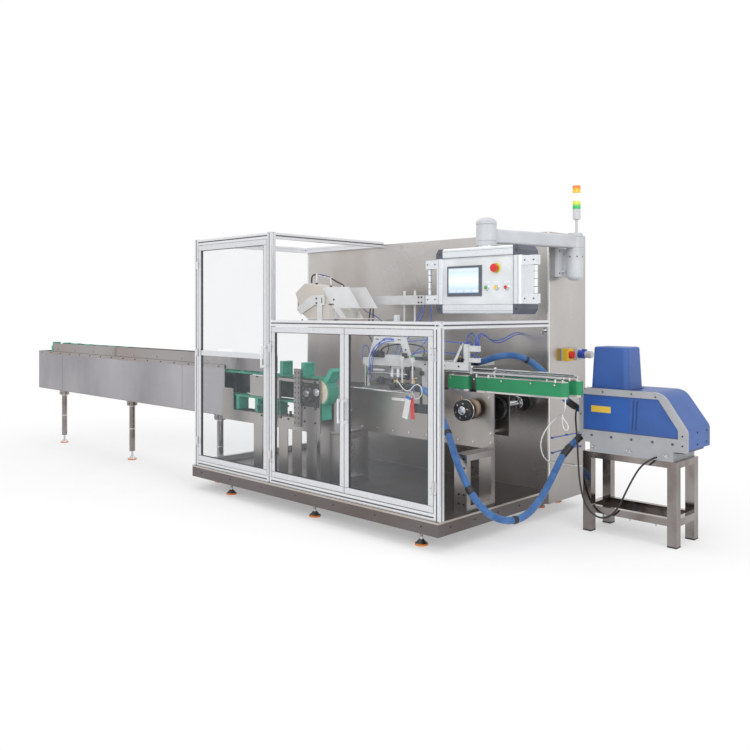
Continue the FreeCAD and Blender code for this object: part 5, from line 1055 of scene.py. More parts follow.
air_routes = {
    "gantry_air_tube": (0.475, [(-0.698, 0.506, 1.262), (-0.740, 0.496, 1.275), (-0.790, 0.488, 1.262),
                                (-0.832, 0.486, 1.226), (-0.866, 0.487, 1.178), (-0.892, 0.490, 1.122),
                                (-0.908, 0.493, 1.064), (-0.912, 0.497, 1.010), (-0.920, 0.501, 0.972),
                                (-0.938, 0.505, 0.950), (-0.962, 0.508, 0.944)]),
    "upper_air_tube": (0.575, [(-0.566, 0.508, 1.250), (-0.530, 0.502, 1.252), (-0.484, 0.500, 1.258),
                               (-0.436, 0.508, 1.264), (-0.384, 0.520, 1.268), (-0.330, 0.532, 1.268),
                               (-0.276, 0.542, 1.265), (-0.222, 0.549, 1.260), (-0.168, 0.555, 1.254),
                               (-0.116, 0.559, 1.250), (-0.070, 0.560, 1.252), (-0.038, 0.556, 1.262),
                               (-0.020, 0.552, 1.260), (-0.018, 0.552, 1.236)]),
    "lower_air_tube": (0.566, [(-0.534, 0.508, 1.150), (-0.508, 0.500, 1.158), (-0.472, 0.502, 1.174),
                               (-0.428, 0.512, 1.184), (-0.376, 0.526, 1.189), (-0.322, 0.540, 1.188),
                               (-0.268, 0.552, 1.185), (-0.214, 0.562, 1.178), (-0.160, 0.568, 1.170),
                               (-0.108, 0.572, 1.166), (-0.062, 0.572, 1.166), (-0.026, 0.566, 1.172),
                               (-0.004, 0.556, 1.174), (0.002, 0.552, 1.152)]),
    "looped_air_tube": (0.187, [(-0.046, 0.530, 1.245), (-0.047, 0.532, 1.268), (-0.045, 0.536, 1.294),
                                (-0.034, 0.541, 1.315), (-0.014, 0.546, 1.321), (0.004, 0.549, 1.308),
                                (0.011, 0.551, 1.284), (0.012, 0.552, 1.258), (0.012, 0.552, 1.236)]),
    "sagging_air_tube": (0.675, [(-0.053, 1.150, 1.314), (-0.053, 1.118, 1.312), (-0.050, 1.078, 1.304),
                                 (-0.046, 1.024, 1.290), (-0.042, 0.968, 1.276), (-0.038, 0.912, 1.266),
                                 (-0.034, 0.856, 1.262), (-0.028, 0.800, 1.266), (-0.018, 0.744, 1.280),
                                 (-0.004, 0.690, 1.300), (0.010, 0.636, 1.316), (0.020, 0.590, 1.318),
                                 (0.024, 0.562, 1.300), (0.024, 0.553, 1.268), (0.024, 0.552, 1.236)]),
    "second_sagging_tube": (0.668, [(-0.035, 1.150, 1.302), (-0.035, 1.116, 1.300), (-0.034, 1.074, 1.292),
                                    (-0.032, 1.020, 1.278), (-0.028, 0.964, 1.262), (-0.024, 0.908, 1.250),
                                    (-0.018, 0.852, 1.246), (-0.010, 0.796, 1.252), (0.002, 0.740, 1.268),
                                    (0.014, 0.686, 1.290), (0.026, 0.632, 1.306), (0.034, 0.586, 1.308),
                                    (0.036, 0.560, 1.290), (0.036, 0.553, 1.262), (0.036, 0.552, 1.236)]),
    "magazine_air_tube": (0.499, [(-1.346, 0.845, 1.521), (-1.346, 0.842, 1.502), (-1.334, 0.838, 1.482),
                                  (-1.306, 0.836, 1.466), (-1.272, 0.838, 1.453), (-1.234, 0.842, 1.440),
                                  (-1.196, 0.845, 1.424), (-1.158, 0.846, 1.400), (-1.110, 0.846, 1.366),
                                  (-1.060, 0.846, 1.335), (-1.000, 0.846, 1.305), (-0.950, 0.846, 1.288),
                                  (-0.925, 0.846, 1.284)]),
}
bundle_routes = {
    "gantry_second_tube": (0.425, [(-0.705, 0.498, 1.262), (-0.740, 0.484, 1.262), (-0.790, 0.474, 1.250),
                                   (-0.842, 0.468, 1.220), (-0.884, 0.466, 1.176), (-0.908, 0.468, 1.126),
                                   (-0.920, 0.472, 1.080), (-0.924, 0.478, 1.040), (-0.930, 0.496, 1.006),
                                   (-0.962, 0.506, 0.990)]),
    "gantry_third_tube": (0.424, [(-0.690, 0.498, 1.252), (-0.722, 0.480, 1.250), (-0.772, 0.468, 1.236),
                                  (-0.822, 0.462, 1.206), (-0.862, 0.460, 1.162), (-0.886, 0.462, 1.114),
                                  (-0.900, 0.468, 1.070), (-0.914, 0.478, 1.030), (-0.940, 0.496, 1.004),
                                  (-0.966, 0.506, 0.984)]),
    "beam_first_tube": (0.519, [(-0.690, 0.845, 1.521), (-0.690, 0.835, 1.470), (-0.700, 0.800, 1.392),
                                (-0.724, 0.740, 1.306), (-0.742, 0.680, 1.240), (-0.736, 0.628, 1.184),
                                (-0.720, 0.590, 1.148), (-0.712, 0.546, 1.119)]),
    "beam_second_tube": (0.523, [(-0.720, 0.845, 1.521), (-0.722, 0.830, 1.462), (-0.744, 0.790, 1.376),
                                 (-0.776, 0.728, 1.290), (-0.790, 0.668, 1.226), (-0.780, 0.618, 1.176),
                                 (-0.762, 0.585, 1.146), (-0.756, 0.546, 1.119)]),
    "beam_third_tube": (0.556, [(-0.660, 0.880, 1.521), (-0.640, 0.870, 1.452), (-0.612, 0.828, 1.358),
                                (-0.586, 0.764, 1.278), (-0.580, 0.700, 1.224), (-0.590, 0.640, 1.180),
                                (-0.604, 0.596, 1.146), (-0.610, 0.546, 1.119)]),
    "carrier_loop_tube": (0.295, [(-0.985, 0.545, 1.118), (-0.990, 0.545, 1.160), (-1.002, 0.545, 1.196),
                                  (-1.030, 0.545, 1.214), (-1.058, 0.545, 1.196), (-1.064, 0.542, 1.156),
                                  (-1.052, 0.536, 1.112), (-1.030, 0.530, 1.080), (-1.004, 0.526, 1.064)]),
}
black_routes = {
    "beam_first_cable": (0.679, [(-1.300, 0.880, 1.521), (-1.298, 0.868, 1.440), (-1.272, 0.820, 1.346),
                                 (-1.206, 0.752, 1.286), (-1.116, 0.690, 1.254), (-1.030, 0.640, 1.214),
                                 (-0.968, 0.606, 1.158), (-0.948, 0.546, 1.119)]),
    "beam_second_cable": (0.756, [(-1.270, 0.880, 1.521), (-1.262, 0.868, 1.424), (-1.222, 0.824, 1.330),
                                  (-1.140, 0.768, 1.284), (-1.040, 0.722, 1.270), (-0.944, 0.688, 1.256),
                                  (-0.880, 0.646, 1.214), (-0.850, 0.610, 1.158), (-0.845, 0.546, 1.119)]),
    "carrier_cable": (0.601, [(-0.900, 0.546, 1.119), (-0.896, 0.560, 1.166), (-0.862, 0.580, 1.204),
                              (-0.790, 0.644, 1.222), (-0.700, 0.644, 1.226), (-0.600, 0.642, 1.222),
                              (-0.520, 0.640, 1.204), (-0.474, 0.590, 1.164), (-0.466, 0.546, 1.119)]),
}
SENSOR_CABLE, WHITE_CABLE = 0.010, 0.007
for name, (length, points) in bundle_routes.items():
    cable(name, points, AIR_TUBE, tube_blue)
for name, (length, points) in black_routes.items():
    cable(name, points, SENSOR_CABLE, black_rubber)
for name, (length, points) in air_routes.items():
    cable(name, points, AIR_TUBE, tube_blue)
white_routes = {
    "gun_cable": (0.523, [(-0.548, 0.345, 0.974), (-0.520, 0.336, 0.984), (-0.490, 0.328, 0.970),
                          (-0.458, 0.324, 0.940), (-0.420, 0.323, 0.916), (-0.382, 0.324, 0.922),
                          (-0.354, 0.326, 0.950), (-0.322, 0.327, 0.970), (-0.288, 0.328, 0.958),
                          (-0.272, 0.329, 0.926), (-0.284, 0.330, 0.892), (-0.312, 0.334, 0.872),
                          (-0.344, 0.344, 0.864), (-0.366, 0.356, 0.862), (-0.372, 0.357, 0.890),
                          (-0.394, 0.358, 0.904), (-0.402, 0.359, 0.918)]),
    "tied_cable_loop": (0.238, [(0.598, 0.686, 0.812), (0.604, 0.674, 0.800), (0.618, 0.668, 0.784),
                                (0.636, 0.666, 0.766), (0.650, 0.667, 0.744), (0.648, 0.668, 0.722),
                                (0.632, 0.669, 0.712), (0.616, 0.671, 0.722), (0.606, 0.675, 0.746),
                                (0.600, 0.682, 0.774), (0.592, 0.690, 0.808)]),
}
for name, (length, points) in white_routes.items():
    cable(name, points, WHITE_CABLE, cable_white)


# Top beam and carton magazine in white paint, with dark bolts in the arm and its slot, a suction
# stalk on a curved black tube, and clear plastic feed blocks below the stack of flat cartons.
for node in ("top_beam", "carton_magazine"):
    coat(node, white_paint)
board, tree, shader = paint("carton board edges", (0.66, 0.58, 0.50), 0.8)
sheets = wire(tree, "ShaderNodeTexWave", {"bands_direction": "X"}, Vector=stretched(tree, (1, 1, 1)), Scale=90.0,
              Distortion=1.0, Detail=2.0)
tree.links.new(spread(tree, sheets.outputs["Fac"], [(0.2, (0.52, 0.46, 0.41)), (0.6, (0.74, 0.69, 0.65))]),
               shader.inputs["Base Color"])
coat("carton_stack", board)
magazine_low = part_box("carton_magazine")[0]
magazine_screws = [((x, magazine_low[1], z), (0, -1, 0)) for x, z in
                   ((-1.442, 1.571), (-1.442, 1.535), (-1.610, 1.400), (-1.655, 1.368), (-1.240, 1.560))]
screws("magazine_screws", magazine_screws, dark_screw, 0.0070, 0.0050)
# Painted shade: dark patches in the arm's slots stand for the shade in them.
slot_shade_patches = bmesh.new()
block(slot_shade_patches, (-1.384, -1.375), (magazine_low[1] - 0.0008, magazine_low[1] + 0.001), (1.534, 1.579))
block(slot_shade_patches, (-1.300, -1.240), (magazine_low[1] - 0.0008, magazine_low[1] + 0.001), (1.520, 1.528))
piece("magazine_slot_shade", slot_shade_patches, dark_steel)
stalk = bmesh.new()
bar(stalk, (-1.539, 0.500, 1.690), (-1.539, 0.500, 1.774), 0.0075, 0.001, 20)
bar(stalk, (-1.545, 0.500, 1.768), (-1.369, 0.500, 1.730), 0.0075, 0.001, 20)
bar(stalk, (-1.369, 0.500, 1.668), (-1.369, 0.500, 1.738), 0.0085, 0.001, 20)
turned(stalk, (-1.238, 0.500, 1.600), (0, 0, 1),
       [(0, 0.012), (0.004, 0.013), (0.030, 0.013), (0.034, 0.009), (0.074, 0.009), (0.074, 0)], 20)
piece("suction_stalk", stalk, chrome)
suction = bmesh.new()
for x in (-1.539, -1.369):
    turned(suction, (x, 0.500, 1.698 if x < -1.4 else 1.674), (0, 0, -1),
           [(-0.004, 0.006), (0.002, 0.012), (0.005, 0.009), (0.008, 0.014), (0.008, 0)], 20)
piece("suction_cups", suction, black_plastic)
suction_points = [(-1.600, 0.500, 1.700), (-1.602, 0.500, 1.738), (-1.588, 0.500, 1.762), (-1.545, 0.500, 1.770),
                  (-1.488, 0.500, 1.762), (-1.435, 0.500, 1.752), (-1.382, 0.500, 1.737), (-1.340, 0.500, 1.720),
                  (-1.301, 0.500, 1.701), (-1.258, 0.500, 1.686), (-1.226, 0.500, 1.672),
                  (-1.214, 0.500, 1.646), (-1.212, 0.500, 1.590), (-1.211, 0.500, 1.546), (-1.210, 0.500, 1.502)]
ring = bmesh.new()
turned(ring, (-1.470, 0.500, 1.758), (1, 0, -0.20),
       [(0, 0.0062), (0.001, 0.0078), (0.015, 0.0078), (0.016, 0.0062)], 20)
tube_ring = piece("suction_tube_ring", ring, tube_blue)
cable("suction_tube", suction_points, 0.012, black_rubber)
feed_blocks = bmesh.new()
for x in (-1.309, -1.232):
    block(feed_blocks, (x, x + 0.064), (0.420, 0.590), (1.424, 1.486))
clear_block, tree, shader = paint("clear feed block", (0.72, 0.74, 0.72), 0.12)
inner = wire(tree, "ShaderNodeTexNoise", Vector=stretched(tree, (8, 8, 8)), Scale=2.0, Detail=2.0)
tree.links.new(spread(tree, inner.outputs["Fac"], [(0.3, (0.62, 0.64, 0.60)), (0.7, (0.80, 0.82, 0.80))]),
               shader.inputs["Base Color"])
shader.inputs["Alpha"].default_value = 0.55
piece("magazine_feed_blocks", feed_blocks, clear_block, bevel=0.003)
stack_low, stack_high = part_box("carton_stack")
cover = bmesh.new()
for count in range(5):
    start = -1.690 + 0.003 * count
    block(cover, (start, start + 0.0012), (stack_low[1] + 0.004, stack_high[1] - 0.004), (1.470, 1.600 + 0.004 * count))
piece("loose_carton_sheets", cover, board)
beam_screws = [((x, 0.810, z), (0, -1, 0)) for x in (-1.335, -1.285, -0.720, -0.690) for z in (1.537, 1.577)]
screws("top_beam_screws", beam_screws, dark_screw, 0.0065, 0.0050)


# Main switch and power socket on the cabinet's end: a red rotary handle on a yellow plate, and a
# blue coupling with its lever, above the pale grey bodies.
box_plastic = moulded("pale grey box plastic", (0.56, 0.57, 0.58), 0.42)
coat("switch_and_socket", box_plastic)
SWITCH_Y, SOCKET_Y, SWITCH_Z = 1.370, 1.500, 1.152
SWITCH_FACE = 0.255
plate = bmesh.new()
block(plate, (SWITCH_FACE - 0.038, SWITCH_FACE + 0.003), (SWITCH_Y - 0.046, SWITCH_Y + 0.046),
      (SWITCH_Z - 0.046, SWITCH_Z + 0.046))
yellow_plastic = moulded("yellow plate plastic", (0.78, 0.50, 0.02), 0.38)
piece("switch_plate", plate, yellow_plastic, bevel=0.003)
red_plastic = moulded("red plastic", (0.62, 0.025, 0.02), 0.32)
knob = bmesh.new()
turned(knob, (SWITCH_FACE + 0.002, SWITCH_Y, SWITCH_Z), (1, 0, 0),
       [(0, 0.0285), (0.008, 0.0285), (0.010, 0.0268), (0.024, 0.0265), (0.0262, 0.0240), (0.0262, 0)], 36)
block(knob, (SWITCH_FACE + 0.012, SWITCH_FACE + 0.034), (SWITCH_Y - 0.0075, SWITCH_Y + 0.0075),
      (SWITCH_Z - 0.027, SWITCH_Z + 0.027))
piece("switch_handle", knob, red_plastic, bevel=0.0015)
blue_plastic = moulded("blue coupling plastic", (0.02, 0.08, 0.42), 0.35)
coupling = bmesh.new()
turned(coupling, (SWITCH_FACE - 0.002, SOCKET_Y, SWITCH_Z), (1, 0, 0),
       [(0, 0.0315), (0.006, 0.0315), (0.008, 0.0288), (0.030, 0.0288), (0.032, 0.0320), (0.044, 0.0320),
        (0.046, 0.0275), (0.0580, 0.0268), (0.0580, 0.0262)], 36)
block(coupling, (SWITCH_FACE + 0.026, SWITCH_FACE + 0.058), (SOCKET_Y - 0.013, SOCKET_Y + 0.013),
      (SWITCH_Z + 0.024, SWITCH_Z + 0.038))
piece("socket_coupling", coupling, blue_plastic, bevel=0.0012)
end_cap = bmesh.new()
turned(end_cap, (0.326, SOCKET_Y, SWITCH_Z), (1, 0, 0),
       [(0, 0.0264), (0.002, 0.0275)] + [(0.004 + 0.004 * count, 0.0275 if count % 2 else 0.0266) for count in range(7)]
       + [(0.033, 0.0240), (0.0355, 0.0150), (0.0355, 0)], 36)
piece("socket_plug_grip", end_cap, box_plastic)
switch_screws = [((SWITCH_FACE, SWITCH_Y + side * 0.0445 * 0.86, SWITCH_Z + up * 0.0385), (1, 0, 0))
                 for side in (-1, 1) for up in (-1, 1)]
screws("switch_screws", switch_screws, dark_screw, 0.0028, 0.004)


# Signal tower: a pale pole and base, with a green lens over a yellow ring, a white lens and an
# amber lens, each of ribbed clear plastic.
coat("signal_tower", box_plastic)
tower_low, tower_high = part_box("signal_tower")
TOWER = ((tower_low[0] + tower_high[0]) / 2, (tower_low[1] + tower_high[1]) / 2)
lens_base = tower_high[2] - 3 * 0.060
tower_colours = (("green", (0.02, 0.42, 0.12), (0.62, 0.66, 0.04)), ("white", (0.80, 0.78, 0.70), (0.86, 0.84, 0.76)),
                 ("amber", (0.85, 0.45, 0.03), (0.86, 0.16, 0.01)))
for count, (colour, low_tone, high_tone) in enumerate(tower_colours):
    lens, tree, shader = paint(f"{colour} lens plastic", low_tone, 0.18)
    height_along = wire(tree, "ShaderNodeSeparateXYZ", Vector=stretched(tree, (1, 1, 1)))
    share = wire(tree, "ShaderNodeMapRange", Value=height_along.outputs["Z"], From_Min=lens_base + 0.060 * count + 0.02,
                 From_Max=lens_base + 0.060 * count + 0.05)
    glow = spread(tree, share.outputs["Result"], [(0.0, low_tone), (1.0, high_tone)])
    tree.links.new(glow, shader.inputs["Base Color"])
    tree.links.new(glow, shader.inputs["Emission Color"])
    shader.inputs["Emission Strength"].default_value = 0.25
    sleeve = bmesh.new()
    low = lens_base + 0.060 * count + 0.0025
    turned(sleeve, (*TOWER, low), (0, 0, 1),
           [(0, 0.0292)] + [(0.002 + 0.0045 * step, 0.0302 if step % 2 else 0.0296) for step in range(12)]
           + [(0.0565, 0.0292)], 40)
    piece(f"tower_{colour}_lens", sleeve, lens)
collar = bmesh.new()
turned(collar, (*TOWER, 2.0405), (0, 0, 1),
       [(0, 0.024), (0.004, 0.024), (0.008, 0.016), (0.024, 0.0135), (0.026, 0.0102)], 32)
turned(collar, (*TOWER, 2.164), (0, 0, 1), [(0, 0.0102), (0.001, 0.0200), (0.005, 0.0288)], 32)
piece("tower_collar", collar, cap_plastic)


# Swinging arm of light grey painted tube: turned joints with fine seams at their caps, on a wall
# plate held by small bolts.
arm_paint = moulded("light grey arm paint", (0.53, 0.545, 0.57), 0.35, 400.0, 0.0001)
coat("arm_wall_joint", arm_paint)
coat("swing_arm", arm_paint)
JOINT, ELBOW = (0.310, 1.340), (0.130, 0.510)
joint_rims = bmesh.new()
for z in (1.742, 1.906):
    turned(joint_rims, (*JOINT, z), (0, 0, 1), [(0, 0.0585), (0.001, 0.0605), (0.009, 0.0605), (0.010, 0.0585)], 48)
block(joint_rims, (0.232, 0.256), (1.2795, 1.4005), (1.752, 1.766))
piece("joint_rims", joint_rims, arm_paint)
seam_grey = moulded("dark seam", (0.12, 0.12, 0.13), 0.6)
arm_rims = bmesh.new()
for at, z, radius in ((ELBOW, 1.922, 0.068), (ELBOW, 2.046, 0.068), (JOINT, 2.006, 0.059)):
    turned(arm_rims, (*at, z), (0, 0, 1),
           [(0, radius - 0.0005), (0.001, radius + 0.0015), (0.009, radius + 0.0015), (0.010, radius - 0.0005)], 48)
turned(arm_rims, (*JOINT, 2.0165), (0, 0, 1),
       [(0, 0.0560), (0.012, 0.0560), (0.018, 0.048), (0.020, 0.030), (0.020, 0)], 48)
piece("arm_cap_rims", arm_rims, arm_paint, "swing_arm")
arm_seams = bmesh.new()
for at, z, radius in ((ELBOW, 1.9345, 0.068), (ELBOW, 2.0430, 0.068), (JOINT, 2.0030, 0.059), (JOINT, 1.9275, 0.059)):
    turned(arm_seams, (*at, z), (0, 0, 1), [(0, radius - 0.001), (0.0002, radius + 0.0005), (0.0014, radius + 0.0005),
                                            (0.0016, radius - 0.001)], 48)
piece("arm_seams", arm_seams, seam_grey, "swing_arm")
plate_screws = [((0.230, y, z), (1, 0, 0)) for y in (1.258, 1.422) for z in (1.745, 1.905)]
screws("joint_plate_screws", plate_screws, bright_steel, 0.0070, 0.0050)
joint_screws = [((JOINT[0] + 0.0595 * math.cos(turn), JOINT[1] + 0.0595 * math.sin(turn), 1.862),
                 (math.cos(turn), math.sin(turn), 0))
                for turn in (math.radians(-95), math.radians(-45), math.radians(5))]
screws("joint_set_screws", joint_screws, dark_screw, 0.0050, 0.0020)


# Pendant control: a box of pale extrusions with fine lines along the bars, dark corner caps, grips
# of square blocks and a round bar, a plain lit display, and push-buttons in chrome bezels.
panel_metal = anodised("pale pendant frame", (0.76, 0.79, 0.82), 0.35)
coat("pendant_frame", panel_metal)
coat("pendant_grips", panel_metal)
face_metal = moulded("pendant face sheet", (0.70, 0.73, 0.75), 0.4, 300.0, 0.0001)
coat("pendant_face", face_metal)
corner_plastic = moulded("dark grey corner caps", (0.085, 0.09, 0.12), 0.45)
coat("pendant_corners", corner_plastic)
coat("pendant_screen", moulded("screen bezel", (0.10, 0.11, 0.14), 0.3))
box_low, box_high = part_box("pendant_frame")
face_low, face_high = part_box("pendant_face")
FRAME_FRONT = box_low[1]
pendant_lines = bmesh.new()
for z in (face_low[2] - 0.004, face_high[2] + 0.002, box_low[2] + 0.021, face_high[2] + 0.045):
    block(pendant_lines, (face_low[0] + 0.001, face_high[0] - 0.001), (FRAME_FRONT - 0.0004, FRAME_FRONT + 0.0008),
          (z, z + 0.0018))
for x in (face_low[0] - 0.0038, face_high[0] + 0.002, face_low[0] - 0.038, face_high[0] + 0.036):
    block(pendant_lines, (x, x + 0.0018), (FRAME_FRONT - 0.0004, FRAME_FRONT + 0.0008), (face_low[2], face_high[2]))
piece("pendant_frame_lines", pendant_lines, seam_grey, "pendant")
screen_low, screen_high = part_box("pendant_screen")
SCREEN_FRONT = screen_low[1]
glass = bmesh.new()
block(glass, (screen_low[0] + 0.013, screen_high[0] - 0.022), (SCREEN_FRONT - 0.0012, SCREEN_FRONT + 0.001),
      (screen_low[2] + 0.022, screen_high[2] - 0.015))
display, tree, shader = paint("lit display", (0.50, 0.62, 0.72), 0.12)
across = wire(tree, "ShaderNodeSeparateXYZ", Vector=stretched(tree, (1, 1, 1)))
up_share = wire(tree, "ShaderNodeMapRange", Value=across.outputs["Z"], From_Min=screen_low[2] + 0.022,
                From_Max=screen_high[2] - 0.015)
tone = spread(tree, up_share.outputs["Result"], [(0.0, (0.36, 0.50, 0.64)), (0.50, (0.72, 0.80, 0.84)),
                                                 (0.86, (0.50, 0.62, 0.72))])
tree.links.new(tone, shader.inputs["Base Color"])
tree.links.new(tone, shader.inputs["Emission Color"])
shader.inputs["Emission Strength"].default_value = 0.35
piece("screen_glass", glass, display, "pendant", bevel=0.0006)
top_bar = bmesh.new()
block(top_bar, (screen_low[0] + 0.020, screen_high[0] - 0.029), (SCREEN_FRONT - 0.0017, SCREEN_FRONT - 0.0008),
      (screen_high[2] - 0.036, screen_high[2] - 0.021))
for count in range(4):
    left = screen_low[0] + 0.024 + 0.064 * count
    block(top_bar, (left, left + 0.046), (SCREEN_FRONT - 0.0017, SCREEN_FRONT - 0.0008),
          (screen_low[2] + 0.028, screen_low[2] + 0.043))
pale_tile = moulded("pale display tile", (0.78, 0.84, 0.88), 0.3, 200.0, 0.0001)
piece("screen_tiles", top_bar, pale_tile, "pendant")
coat("pendant_buttons", chrome)
button_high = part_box("pendant_buttons")[1]
FACE = button_high[1]
BUTTON_Z, STOP = 1.623, (0.271, 1.749)
button_colours = (("green", (0.02, 0.40, 0.10)), ("yellow", (0.80, 0.52, 0.03)), ("red", (0.62, 0.025, 0.02)))
for (colour, tone), x in zip(button_colours, (0.199, 0.276, 0.353)):
    cap = bmesh.new()
    turned(cap, (x, FACE - 0.0155, BUTTON_Z), (0, -1, 0),
           [(0, 0.0118), (0.0035, 0.0116), (0.0050, 0.0100), (0.0050, 0)], 28)
    button_plastic = moulded(f"{colour} button plastic", tone, 0.3, 200.0, 0.0001)
    piece(f"button_cap_{colour}", cap, button_plastic, "pendant")
bezels = bmesh.new()
for x in (0.199, 0.276, 0.353):
    turned(bezels, (x, FACE + 0.001, BUTTON_Z), (0, -1, 0),
           [(0, 0.0195), (0.0035, 0.0195), (0.0045, 0.0180), (0.0045, 0.0150), (0.0165, 0.0156), (0.0185, 0.0145),
            (0.0185, 0.0120), (0.0150, 0.0118)], 32)
piece("button_bezels", bezels, chrome, "pendant")
ring = bmesh.new()
turned(ring, (STOP[0], FACE + 0.001, STOP[1]), (0, -1, 0),
       [(0, 0.0330), (0.004, 0.0330), (0.006, 0.0310), (0.006, 0.0180), (0, 0.0180)], 40)
piece("stop_ring", ring, moulded("yellow green ring", (0.62, 0.66, 0.06), 0.4), "pendant")
stop = bmesh.new()
turned(stop, (STOP[0], FACE - 0.006, STOP[1]), (0, -1, 0),
       [(0, 0.0195), (0.010, 0.0195), (0.013, 0.0262), (0.016, 0.0275), (0.024, 0.0275), (0.029, 0.0255),
        (0.0310, 0.019), (0.0310, 0)], 40)
piece("stop_button", stop, red_plastic, "pendant")
# Pale caption tiles above the three buttons.
caption_tiles = bmesh.new()
for x in (0.199, 0.276, 0.353):
    block(caption_tiles, (x - 0.021, x + 0.021), (FACE - 0.0005, FACE + 0.0005), (BUTTON_Z + 0.030, BUTTON_Z + 0.042))
piece("button_plates", caption_tiles, pale_tile, "pendant", bevel=0.0004)
grips = bmesh.new()
for x in (-0.305, 0.551):
    for count in range(3):
        z = 1.622 + 0.048 * count
        turned(grips, (x, 0.448, z), (0, 0, 1), [(0, 0.0120), (0.0005, 0.0130), (0.0035, 0.0130), (0.004, 0.0120)], 28)
    for z in (1.5795, 1.7585):
        turned(grips, (x, 0.448, z), (0, 0, 1), [(0, 0.0120), (0.0005, 0.0150), (0.0030, 0.0150), (0.0035, 0.0120)], 28)
piece("grip_rings", grips, seam_grey, "pendant")
grip_screws = [((x, 0.424, z), (0, -1, 0)) for x in (-0.305, 0.551, -0.240, 0.486) for z in (1.550, 1.791)]
screws("grip_screws", grip_screws, dark_screw, 0.0050, 0.0022, "pendant")
corner_screws = [((x, FRAME_FRONT, z), (0, -1, 0)) for x in (box_low[0] + 0.032, box_high[0] - 0.032)
                 for z in (box_low[2] + 0.034, box_low[2] + 0.406)]
screws("corner_screws", corner_screws, dark_screw, 0.0055, 0.0022, "pendant")
neck_rings = bmesh.new()
turned(neck_rings, (*ELBOW, 1.8905), (0, 0, 1),
       [(0, 0.0620), (0.0025, 0.0620), (0.004, 0.0552)], 48)
piece("neck_flange", neck_rings, arm_paint, "pendant")


# Hot glue melter: grey bezel and plinth with grey plugs and black screws, chrome wing nuts that
# clamp it to the stand, and a hood of blue textured paint with a brighter front panel.
melter_grey = moulded("grey melter paint", (0.36, 0.37, 0.39), 0.45, 500.0)
coat("melter_chassis", melter_grey)
melter_blue = moulded("blue melter paint", (0.030, 0.095, 0.33), 0.42, 600.0)
coat("melter_hood", melter_blue)
PANEL_FRONT, BEZEL_FRONT = 1.029, 1.020
panel_blue = moulded("brighter blue panel paint", (0.014, 0.090, 0.37), 0.46, 600.0)
shut_lines = bmesh.new()
for x in (0.5535, 1.2035):
    block(shut_lines, (x - 0.0012, x + 0.0012), (PANEL_FRONT - 0.0012, PANEL_FRONT + 0.001), (0.680, 0.725))
block(shut_lines, (0.556, 1.202), (PANEL_FRONT - 0.0012, PANEL_FRONT + 0.001), (0.6785, 0.6805))
piece("melter_shut_lines", shut_lines, seam_grey)
plate = bmesh.new()
block(plate, (0.570, 0.880), (PANEL_FRONT - 0.0016, PANEL_FRONT + 0.001), (0.690, 0.900))
piece("melter_front_plate", plate, panel_blue, bevel=0.0012)
band_plate = bmesh.new()
block(band_plate, (0.612, 0.752), (PANEL_FRONT - 0.0026, PANEL_FRONT), (0.800, 0.842))
plate_yellow = moulded("plain yellow plate", (0.74, 0.50, 0.05), 0.5)
piece("melter_plain_plate", band_plate, plate_yellow, bevel=0.0006)
# Painted shade: dark plates set just behind the vent slots stand for the shade inside them.
vent_shade = bmesh.new()
for column in range(2):
    for count in range(11):
        x, z = 0.899 + 0.024 * column + 0.0009 * count, 0.704 + 0.017 * count
        block(vent_shade, (x + 0.0005, x + 0.0195), (PANEL_FRONT + 0.003, PANEL_FRONT + 0.005),
              (z + 0.0002, z + 0.0048))
piece("melter_vent_shade", vent_shade, black_plastic)
melter_screws = [((x, BEZEL_FRONT, z), (0, -1, 0)) for x, z in
                 ((0.541, 0.640), (0.541, 0.780), (0.541, 0.900), (0.700, 0.937), (0.900, 0.937), (1.060, 0.930),
                  (1.232, 0.700), (1.232, 0.640))]
screws("melter_bezel_screws", melter_screws, dark_screw, 0.0050, 0.0030)
plug_seats = [((x, BEZEL_FRONT, 0.645), (0, -1, 0)) for x in (0.620, 0.760, 0.900, 1.040, 1.170)]
screws("melter_bezel_plugs", plug_seats, corner_plastic, 0.0085, 0.0030, share=0.3, sides=24)
hood_screws = [((x, 1.063, 0.958), (0, 0, 1)) for x in (0.570, 0.870)]
hood_screws += [((1.2312, y, z), (1, 0, 0)) for y in (1.090, 1.250, 1.400) for z in (0.625, 0.700)]
hood_screws += [((0.5458, y, z), (-1, 0, 0)) for y in (1.090, 1.250, 1.400) for z in (0.930,)]
screws("melter_hood_screws", hood_screws, dark_screw, 0.0055, 0.0030)
# Painted shade: a dark strip set back under the plinth stands for the shade in the gap above the stand.
plinth_gap_shade = bmesh.new()
block(plinth_gap_shade, (0.590, 1.200), (1.052, 1.062), (0.590, 0.5975))
block(plinth_gap_shade, (1.175, 1.231), (1.040, 1.350), (0.588, 0.5975))
piece("melter_plinth_gap_shade", plinth_gap_shade, black_plastic, bevel=0.001)
wing_nuts = bmesh.new()
for x in (0.640, 0.888, 1.130):
    turned(wing_nuts, (x, 1.021, 0.566), (0, -1, 0),
           [(0, 0.0120), (0.003, 0.0120), (0.004, 0.0075), (0.013, 0.0070), (0.014, 0.0040), (0.021, 0.0036),
            (0.021, 0)], 20)
    for side in (-1, 1):
        bar(wing_nuts, (x, 1.012, 0.566), (x + side * 0.019, 1.006, 0.577), 0.0036, 0.001, 12)
piece("melter_wing_nuts", wing_nuts, bright_steel)
hopper_rim = bmesh.new()
hopper = ((0.5815, 0.8515), (1.0705, 1.2965))
for x in hopper[0]:
    block(hopper_rim, (x - 0.0035, x + 0.0035), (hopper[1][0] - 0.0035, hopper[1][1] + 0.0035), (0.9515, 0.957))
for y in hopper[1]:
    block(hopper_rim, (hopper[0][0], hopper[0][1]), (y - 0.0035, y + 0.0035), (0.9515, 0.957))
piece("hopper_seal", hopper_rim, seal_rubber, bevel=0.0008)


